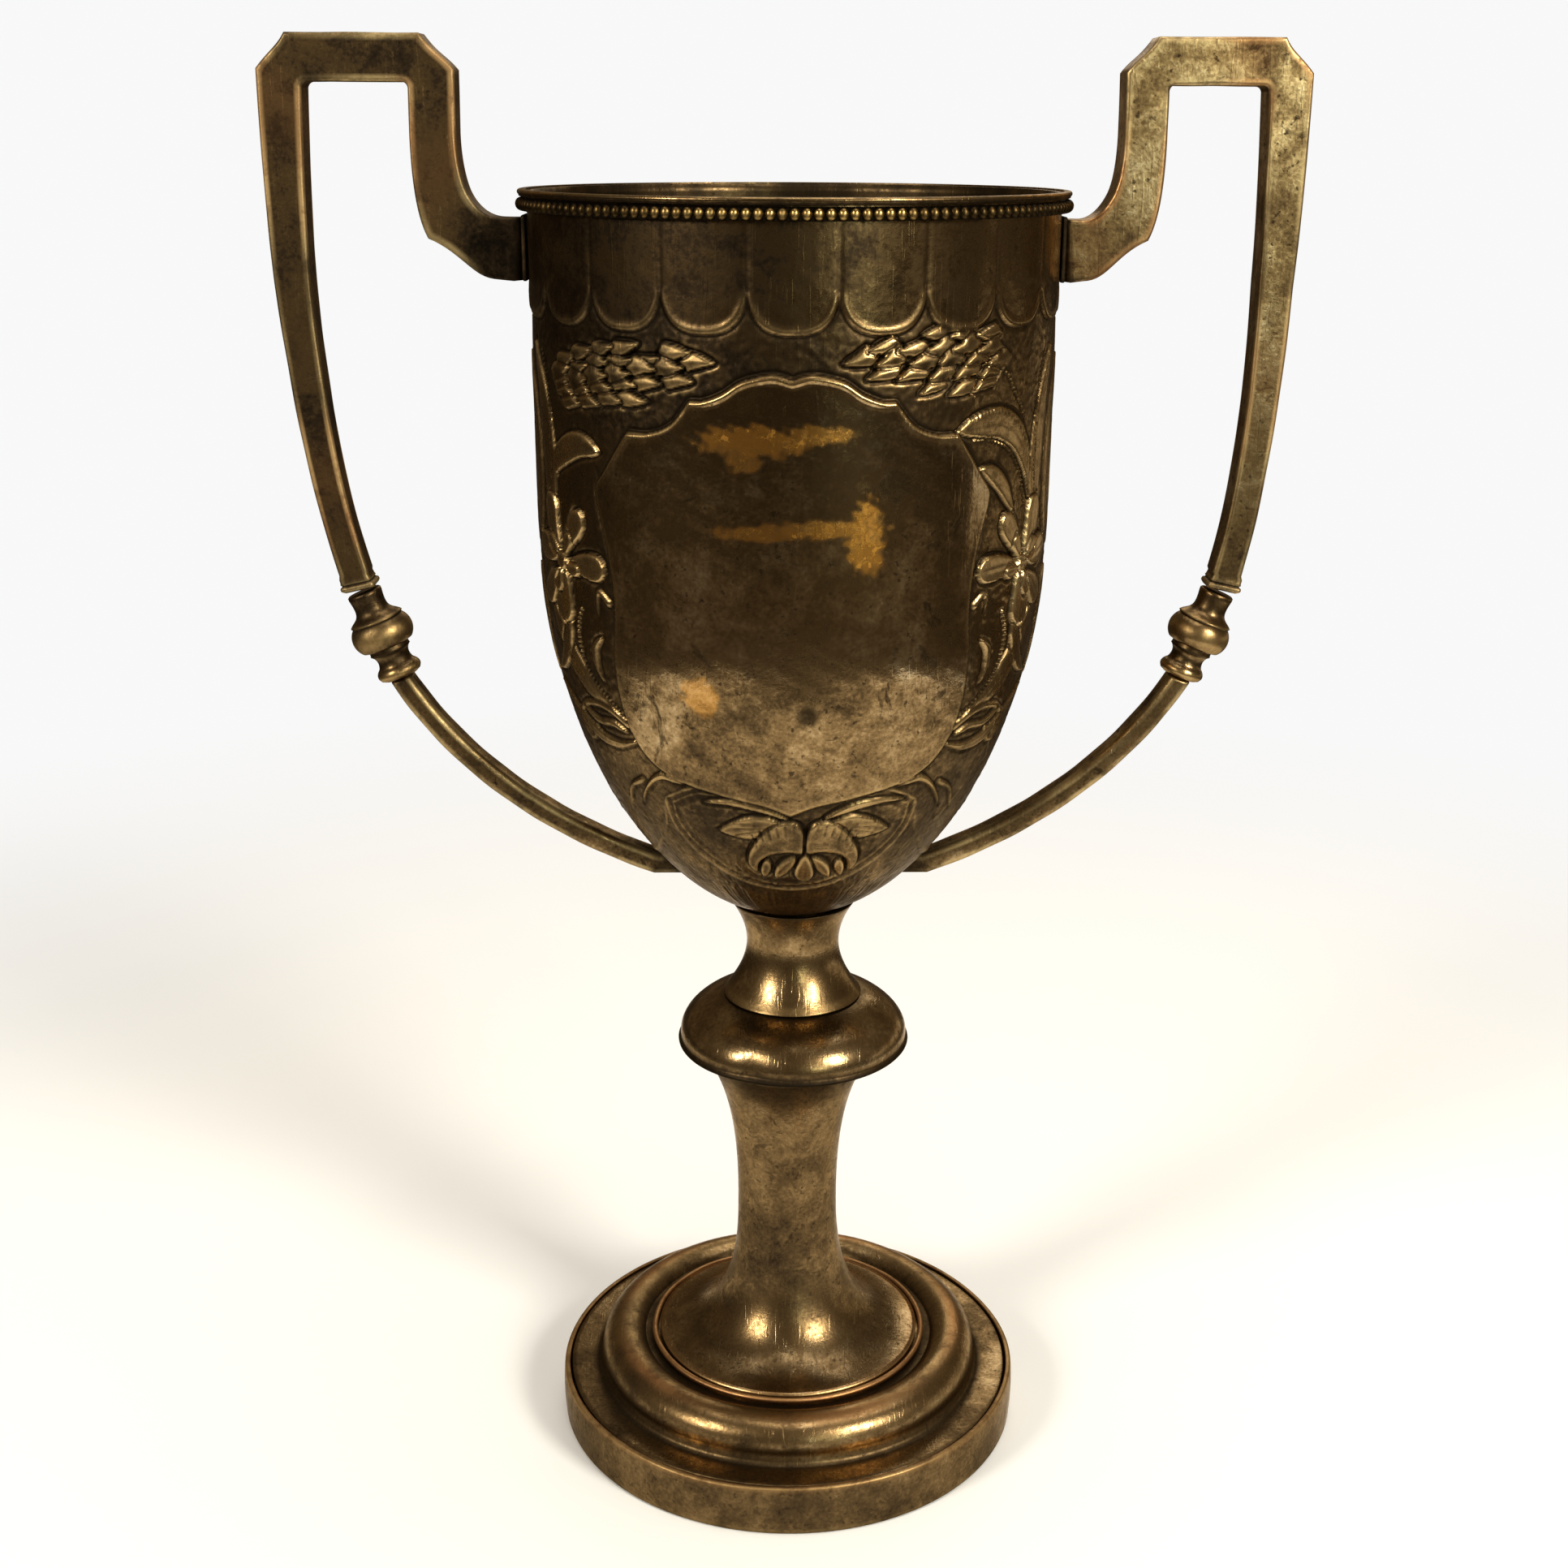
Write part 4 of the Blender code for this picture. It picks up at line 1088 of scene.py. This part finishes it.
def bar_ring(outer, inner, depth, chamfer):
    """Ring round a flat bar with softened chamfers, and which of its points are corners."""
    across = inner - outer
    width = np.linalg.norm(across)
    across = across / width
    cut = chamfer * 0.7
    half = depth / 2
    path = softened([(cut, half), (width - cut, half), (width, half - cut), (width, cut - half),
                     (width - cut, -half), (cut, -half), (0.0, cut - half), (0.0, half - cut)],
                    0.2, 2)
    points, corner = [], []
    for p, q in zip(path, np.roll(path, -1, axis=0)):
        long = np.linalg.norm(q - p) > 1.6
        for share in (0.0, 0.035, 0.12, 0.5, 0.88, 0.965) if long else (0.0,):
            points.append(p + (q - p) * share)
            corner.append(1.0 if share in (0.0, 0.035, 0.965) else 0.0)
    points = np.array(points)
    ring = np.stack([outer[0] + across[0] * points[:, 0], points[:, 1],
                     outer[1] + across[1] * points[:, 0]], 1)
    return ring, np.array(corner)


def build_strap(label, side, seed):
    """Square-section strap; the left one leans out a little and the right one in."""
    node = f"handle_{label}_strap"
    spread = -LEAN * side
    rng = np.random.default_rng(seed)
    rings, corners = [], []
    for o, i in zip(*paired_stretches()):
        edges = []
        for x, z in (o, i):
            across = math.sqrt(np.clip((x - 52) / 42, 0, 1))
            up = np.clip((z - STRAP_FOOT) / 60, 0, 1) if x > OUTER_LEG else 1.0
            edges.append(np.array([x + spread * across * up, z]))
        share = np.clip((((o + i) / 2)[1] - STRAP_FOOT) / (HANDLE_TOP - STRAP_FOOT), 0, 1)
        depth = 8.0 if o[0] <= OUTER_LEG else 6.2 + 1.8 * share
        ring, corner = bar_ring(edges[0], edges[1], depth, 0.55)
        rings.append(ring)
        corners.append(corner)
    rings = np.array(rings)
    low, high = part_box(f"handle_{label}_pad")
    butt = rings[0].mean(0) + (rings[0] - rings[0].mean(0)) * (1.0, 0.97, 0.97)
    butt[:, 0] = max(abs(low.x), abs(high.x)) / MM + 0.08
    rings = np.vstack([butt[None], rings])
    down = np.array([-math.sin(BALUSTER_TILT), 0.0, -math.cos(BALUSTER_TILT)])
    last = rings[-1]
    centre = last.mean(0)
    end = [centre + (last - centre) * swell - down * back
           for back, swell in ((3.0, 1.0), (2.3, 1.02), (1.9, 1.06), (1.7, 1.0), (1.5, 1.0),
                               (1.35, 1.12), (1.1, 1.16), (0.7, 1.16), (0.45, 1.1), (0.2, 1.0))]
    rings = np.vstack([rings[:len(rings) - 4], np.array(end)])
    corner = np.array([corners[0]] * len(rings))
    spread_out = np.arange(len(rings))[:, None] > 1
    run = np.arange(len(rings))[:, None]
    k = np.arange(rings.shape[1])[None, :]
    wave = sum(np.sin(run * f + k * g + p) for f, g, p in rng.uniform(0.05, 1.0, (7, 3))
               * (0.5, 2.0, 6.0)) / 7
    middle = rings.mean(1, keepdims=True)
    push = (rings - middle) / np.linalg.norm(rings - middle, axis=2, keepdims=True)
    rings = rings + push * (wave * 0.10 * spread_out)[..., None]
    height = rings[..., 2]
    # The inner face of the right strap's outer leg is given a lighter tone below: painted light
    cheek = smoothstep((-push[..., 0] - 0.7) / 0.15) * (rings[..., 0] > OUTER_LEG)
    worn = corner * (0.50 + 0.35 * np.sin(run * 0.21 + seed) * np.sin(run * 0.073))
    worn = worn * (1 - smoothstep((64 - rings[..., 0]) / 6) * (height < 270))
    copper = corner * smoothstep(np.sin(run * 0.11 + 2 * seed) + 0.3)
    copper = np.maximum(copper, 0.22 * (corner == 0) * bell(np.sin(run * 0.05 + seed), 0.3))
    ends = np.zeros_like(worn)
    ends[-7] = ends[-6] = 0.85
    ends[:2] = 0.6
    worn[-4:-1] = 0.6
    worn[-8] = 0.7
    rings[..., 0] *= side
    lofted(node, "handle_silver", rings, HANDLE_PLATE, grime=ends, wear=worn * 0.75,
           warm=copper * 0.5,
           shade=strap_shade(side, height, np.abs(rings[..., 0])) + 0.20 * cheek * (side > 0))


def strap_shade(side, z, x):
    """Painted light and shade on the straps. The left strap is painted darker all over, and
    darker still where it meets the cup; the right one is a little lighter overall, darker near the
    cup and low down, lighter still along a band about 67 mm out and a little darker beyond 88 mm.
    """
    near_cup = smoothstep((67.0 - x) / 9.0) * (z < 270)
    low = smoothstep((215.0 - z) / 25.0)
    if side < 0:
        return -0.17 - 0.26 * near_cup
    bright = 0.07 * bell(x - 67.0, 4.0) - 0.04 * smoothstep(x - 88)
    return 0.07 - 0.10 * near_cup - 0.16 * low + bright


def paired_stretches():
    """Matching points (x, z) of the strap's outer and inner edge, from the cup to the knop."""
    stretches = (
        (line((51.9, 259.8), (55.0, 259.8), 4), line((51.9, 248.1), (56.6, 248.6), 4)),
        (bezier((55.0, 259.8), (57.6, 259.8), (59.6, 261.8), (60.9, 264.6), 14),
         bezier((56.6, 248.6), (60.5, 249.1), (62.5, 253.7), (68.2, 256.0), 14)),
        (bezier((60.9, 264.6), (61.9, 266.9), (62.4, 270.5), (62.4, 275.0), 12),
         bezier((68.2, 256.0), (69.9, 259.2), (70.8, 265.0), (70.8, 274.0), 12)),
        (line((62.4, 275.0), (62.2, 286.2), 10), line((70.8, 274.0), (70.6, 282.8), 10)),
        (bezier((62.2, 286.2), (64.0, 288.6), (65.6, 288.9), (68.2, 292.5), 10),
         arc((71.8, 282.8), 1.2, 180, 90, 10)),
        (line((68.2, 292.5), (92.3, 292.5), 24), line((71.8, 284.0), (88.6, 284.0), 24)),
        (bezier((92.3, 292.5), (93.6, 290.0), (95.4, 289.2), (97.85, 286.2), 10),
         arc((88.6, 282.8), 1.2, 90, 0, 10)),
        (bezier((97.85, 286.2), (98.3, 252.0), (96.4, 213.0), (88.9, 186.4), 90),
         bezier((89.8, 282.8), (91.3, 250.0), (91.0, 214.0), (83.4, 188.6), 90)))
    outer, inner = (joined(*edge) for edge in zip(*stretches))
    return outer[:-1], inner[1:]    # the inner edge runs one step ahead of the outer


def build_baluster(label, side):
    """Turned knop under the strap, leaning with the handle."""
    profile = joined([(0.0, 0.0), (3.2, 0.0), (3.5, 0.25)],
                     bezier((3.5, 0.8), (3.3, 2.0), (3.1, 3.4), (3.5, 4.2), 8),
                     bezier((3.5, 4.2), (3.9, 5.1), (5.0, 5.4), (5.5, 6.1), 8),
                     [(5.25, 6.35)],
                     arc((2.6, 9.1), 3.75, 44, -60, 22),
                     [(4.15, 12.55), (4.25, 12.9)],
                     bezier((4.0, 13.1), (3.2, 13.8), (3.2, 15.0), (3.7, 15.9), 8),
                     bezier((3.7, 15.9), (4.3, 16.4), (4.75, 17.0), (4.55, 17.7), 6),
                     [(4.2, 18.3), (3.4, 18.7), (0.0, 18.7)])
    facets = 64
    angle = np.radians(np.arange(facets) * 360.0 / facets)
    r, t = profile[1:-1, 0][:, None], profile[1:-1, 1][:, None]
    ring = np.stack([r * np.cos(angle), r * np.sin(angle), -t + 0 * angle], -1)
    turn = Matrix.Rotation(side * BALUSTER_TILT, 4, "Y")
    placed = np.array(Matrix.Translation((side * 86.05, 0.0, 187.3)) @ turn)
    rings = ring @ placed[:3, :3].T + placed[:3, 3]
    depth = t + 0 * angle
    grime = 0.85 * (bell(depth - 6.3, 0.25) + bell(depth - 12.9, 0.35)
                    + bell(depth - 3.4, 1.0) * 0.6 + bell(depth - 14.8, 1.0) * 0.7)
    wear = (0.6 * bell(depth - 9.0, 1.6) + 0.6 * bell(depth - 17.4, 0.6)
            + 0.4 * bell(depth - 6.0, 0.3))
    # Painted shade: the left baluster is given a darker tone than the right one
    lofted(f"handle_{label}_knop", "handle_silver", rings, STEM_PLATE,
           grime=np.clip(grime, 0, 1), wear=np.clip(wear, 0, 1), shade=0.05 * side - 0.03)


def build_tail(label, side):
    """Rounded bar from the baluster to the bowl, its end cut to the wall."""
    path = bezier((79.2, 169.56), (67.2, 149.6), (47.5, 136.5), (26.3, 129.1), 120)
    along = np.gradient(path, axis=0)
    along /= np.linalg.norm(along, axis=1)[:, None]
    down = np.array([-math.sin(BALUSTER_TILT), -math.cos(BALUSTER_TILT)])
    count = 28
    turn = 2 * np.pi * (np.arange(count) + 0.5) / count
    flat_c = np.sign(np.cos(turn)) * np.abs(np.cos(turn)) ** 0.5
    flat_s = np.sign(np.sin(turn)) * np.abs(np.sin(turn)) ** 0.5
    rings = []
    for i, (point, way) in enumerate(zip(path, along)):
        square = 1.0 - smoothstep(i / 10.0)         # the first rings face the baluster
        way = way * (1 - square) + down * square
        across = np.array([way[1], -way[0]])
        size = 1 + 0.015 * math.sin(i * 0.31 + side)
        ring = np.stack([point[0] + across[0] * flat_c * 2.25 * size, flat_s * 3.05 * size,
                         point[1] + across[1] * flat_c * 2.25 * size], 1)
        rings.append(ring)
    rings = np.array(rings)
    off = np.hypot(rings[..., 0], rings[..., 1]) - wall_radius(rings[..., 2]) - TAIL_GAP
    keep = [i for i in range(len(rings)) if off[i].min() > 0.3]
    rings = rings[keep]
    final = rings[-1].copy()
    for k, point in enumerate(final):
        near, far = 0.0, 40.0
        for _ in range(40):
            mid = (near + far) / 2
            if math.hypot(point[0] - mid, point[1]) - wall_radius(point[2]) - TAIL_GAP > 0:
                near = mid
            else:
                far = mid
        final[k] = point - np.array([near, 0.0, 0.0])
    between = [rings[-1] * (1 - s) + final * s for s in (0.25, 0.5, 0.75, 1.0)]
    rings = np.vstack([rings, np.array(between)])
    rings[..., 0] *= side
    edge = np.abs(np.abs(flat_c) - np.abs(flat_s)) < 0.45
    run = np.arange(len(rings))[:, None]
    worn = edge[None, :] * (0.55 + 0.3 * np.sin(run * 0.13 + side))
    grime = 0.8 * smoothstep((run - len(rings) + 9) / 8.0) + 0 * worn
    # Painted shade: the left tail is given a darker tone than the right one
    lofted(f"handle_{label}_tail", "handle_silver", rings, HANDLE_PLATE,
           grime=grime, wear=worn * 0.8, shade=-0.06 + 0.05 * side)


def build_pad(label, side):
    """Thin soldered plate between the arm of the strap and the wall."""
    node = f"handle_{label}_pad"
    low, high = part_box(node)
    inner, outer = sorted((abs(low.x) / MM, abs(high.x) / MM))
    half, bottom, top = high.y / MM, low.z / MM, high.z / MM
    corners = [(-half, bottom), (half, bottom), (half, top), (-half, top)]
    outline = refined(softened(corners, 1.0, 4), 0.8)
    centre = outline.mean(0)
    rings = []
    for x, shrink in ((inner, 0.995), (inner + 0.1, 1.0), (outer - 0.3, 1.0),
                      (outer - 0.08, 0.97), (outer, 0.93)):
        ring = centre + (outline - centre) * shrink
        rings.append(np.stack([np.full(len(ring), side * x), ring[:, 0], ring[:, 1]], 1))
    # Painted shade: the pad, under the strap's arm, is darkened and given a blacker tone
    lofted(node, "handle_silver", rings, HANDLE_PLATE, grime=0.6, shade=-0.3)


def build_handles():
    for label, side, seed in (("left", -1, 5), ("right", 1, 6)):
        build_pad(label, side)
        build_strap(label, side, seed)
        build_baluster(label, side)
        build_tail(label, side)


def dress_fastening():
    """The hidden boss, rod, washer and nut keep their CAD shapes."""
    steel = (DULL_STEEL, "steel_fastening")
    for node, (material, slot) in {"bowl_boss": (BEAD_BRASS, "bare_brass"), "tie_rod": steel,
                                   "tie_washer": steel, "tie_nut": steel}.items():
        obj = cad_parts[node]
        for slots in obj.material_slots:
            slots.material = material


# ---------------------------------------------------------------- stage, light and camera

BACKDROP = (0.94, 0.94, 0.94)


def stage_sheet(name, radii, height, facets=96):
    """Flat disc in metres, or a flat ring between two radii."""
    angle = np.radians(np.arange(facets) * 360.0 / facets)
    verts = np.vstack([np.stack([r * np.cos(angle), r * np.sin(angle), height + 0 * angle], 1)
                       for r in radii])
    faces = strip_faces(2, facets, False) if len(radii) == 2 else [list(range(facets))]
    mesh = bpy.data.meshes.new(name)
    mesh.from_pydata(verts.tolist(), [], faces)
    return linked(name, mesh)


def build_stage():
    """Pale floor that fades into the pale backdrop, and a dark cloth round the cup that only
    its reflections see."""
    floor = stage_sheet("stage_floor", [6.0], -0.0002)
    s = Shader("pale_floor", 0.0, (0.86, 0.86, 0.86))
    away = s.add("VectorMath", {0: s.place()}, operation="LENGTH").outputs["Value"]
    far = s.between(away, 0.17, 0.62)
    s.set({"Base Color": s.mix(far, (0.82, 0.82, 0.81), (0.0, 0.0, 0.0)),
           "Emission Color": s.mix(far, (0.0, 0.0, 0.0), BACKDROP),
           "Emission Strength": 1.0, "Roughness": 1.0, "Specular IOR Level": 0.0})
    floor.data.materials.append(s.material)
    cloth = stage_sheet("stage_dark_cloth", [0.31, 5.9], 0.0004)
    dark = (0.040, 0.030, 0.020)
    s = Shader("dark_cloth", 0.0, dark)
    weave = s.ramp(s.noise(3.0, 2.0), [(0.3, tuple(c * 0.97 for c in dark)), (0.7, dark)])
    s.set({"Base Color": weave, "Roughness": 0.9})
    cloth.data.materials.append(s.material)
    cloth.visible_camera = cloth.visible_diffuse = cloth.visible_shadow = False


def softbox(name, place, target, width, height, power, colour=(1.0, 0.95, 0.84)):
    light = bpy.data.lights.new(name, "AREA")
    light.shape = "RECTANGLE"
    light.size, light.size_y = width, height
    light.energy, light.color = power, colour
    obj = linked(name, light)
    obj.location = place
    obj.rotation_mode = "QUATERNION"
    obj.rotation_quaternion = (Vector(target) - Vector(place)).to_track_quat("-Z", "Y")


def build_light():
    world = bpy.data.worlds.new("studio")
    bpy.context.scene.world = world
    world.use_nodes = True
    tree = world.node_tree
    background = tree.nodes["Background"]
    seen = tree.nodes.new("ShaderNodeLightPath")
    choose = tree.nodes.new("ShaderNodeMix")
    choose.data_type = "RGBA"
    choose.inputs[6].default_value = (0.16, 0.125, 0.086, 1.0)
    choose.inputs[7].default_value = (*BACKDROP, 1.0)
    tree.links.new(seen.outputs["Is Camera Ray"], choose.inputs[0])
    tree.links.new(choose.outputs[2], background.inputs["Color"])
    middle = (0.0, 0.0, 0.13)
    softbox("key_left", (-0.95, -0.78, 0.75), middle, 0.28, 0.38, 12.5)
    softbox("key_right", (0.82, -0.86, 0.80), middle, 0.32, 0.42, 18.0)
    softbox("front_right", (0.52, -1.20, 0.42), (0.09, 0.0, 0.24), 0.30, 0.36, 2.3,
            (0.90, 1.0, 0.84))
    softbox("overhead", (0.1, 0.1, 1.6), middle, 1.2, 1.2, 15.0, (1.0, 0.96, 0.9))
    softbox("side_right", (0.80, 0.30, 0.06), (0.05, 0.0, 0.15), 1.0, 0.20, 0.36, (1.0, 0.90, 0.74))
    softbox("back_fill", (0.3, 1.5, 0.9), middle, 0.8, 0.6, 3.0, (1.0, 0.96, 0.9))


def build_camera():
    azimuth, yaw, pitch, roll = (math.radians(d) for d in (1.3, 0.21, 17.97, 0.26))
    distance, height = 0.3987, 0.2758
    place = Vector((-distance * math.sin(azimuth), -distance * math.cos(azimuth), height))
    heading = azimuth - yaw
    forward = Vector((math.sin(heading) * math.cos(pitch), math.cos(heading) * math.cos(pitch),
                      -math.sin(pitch)))
    right = forward.cross(Vector((0.0, 0.0, 1.0))).normalized()
    up = right.cross(forward)
    tilted_right = right * math.cos(roll) + up * math.sin(roll)
    tilted_up = up * math.cos(roll) - right * math.sin(roll)
    data = bpy.data.cameras.new("photo_camera")
    data.sensor_width = 36.0
    data.lens = 46.3
    data.clip_start = 0.01
    camera = linked("photo_camera", data)
    turn = Matrix((tilted_right, tilted_up, -forward)).transposed()
    camera.matrix_world = Matrix.Translation(place) @ turn.to_4x4()
    bpy.context.scene.camera = camera
    bpy.context.scene.view_settings.view_transform = "Standard"


build_camera()
build_bowl()
build_mouth()
build_stem()
build_foot()
build_handles()
dress_fastening()
build_stage()
build_light()
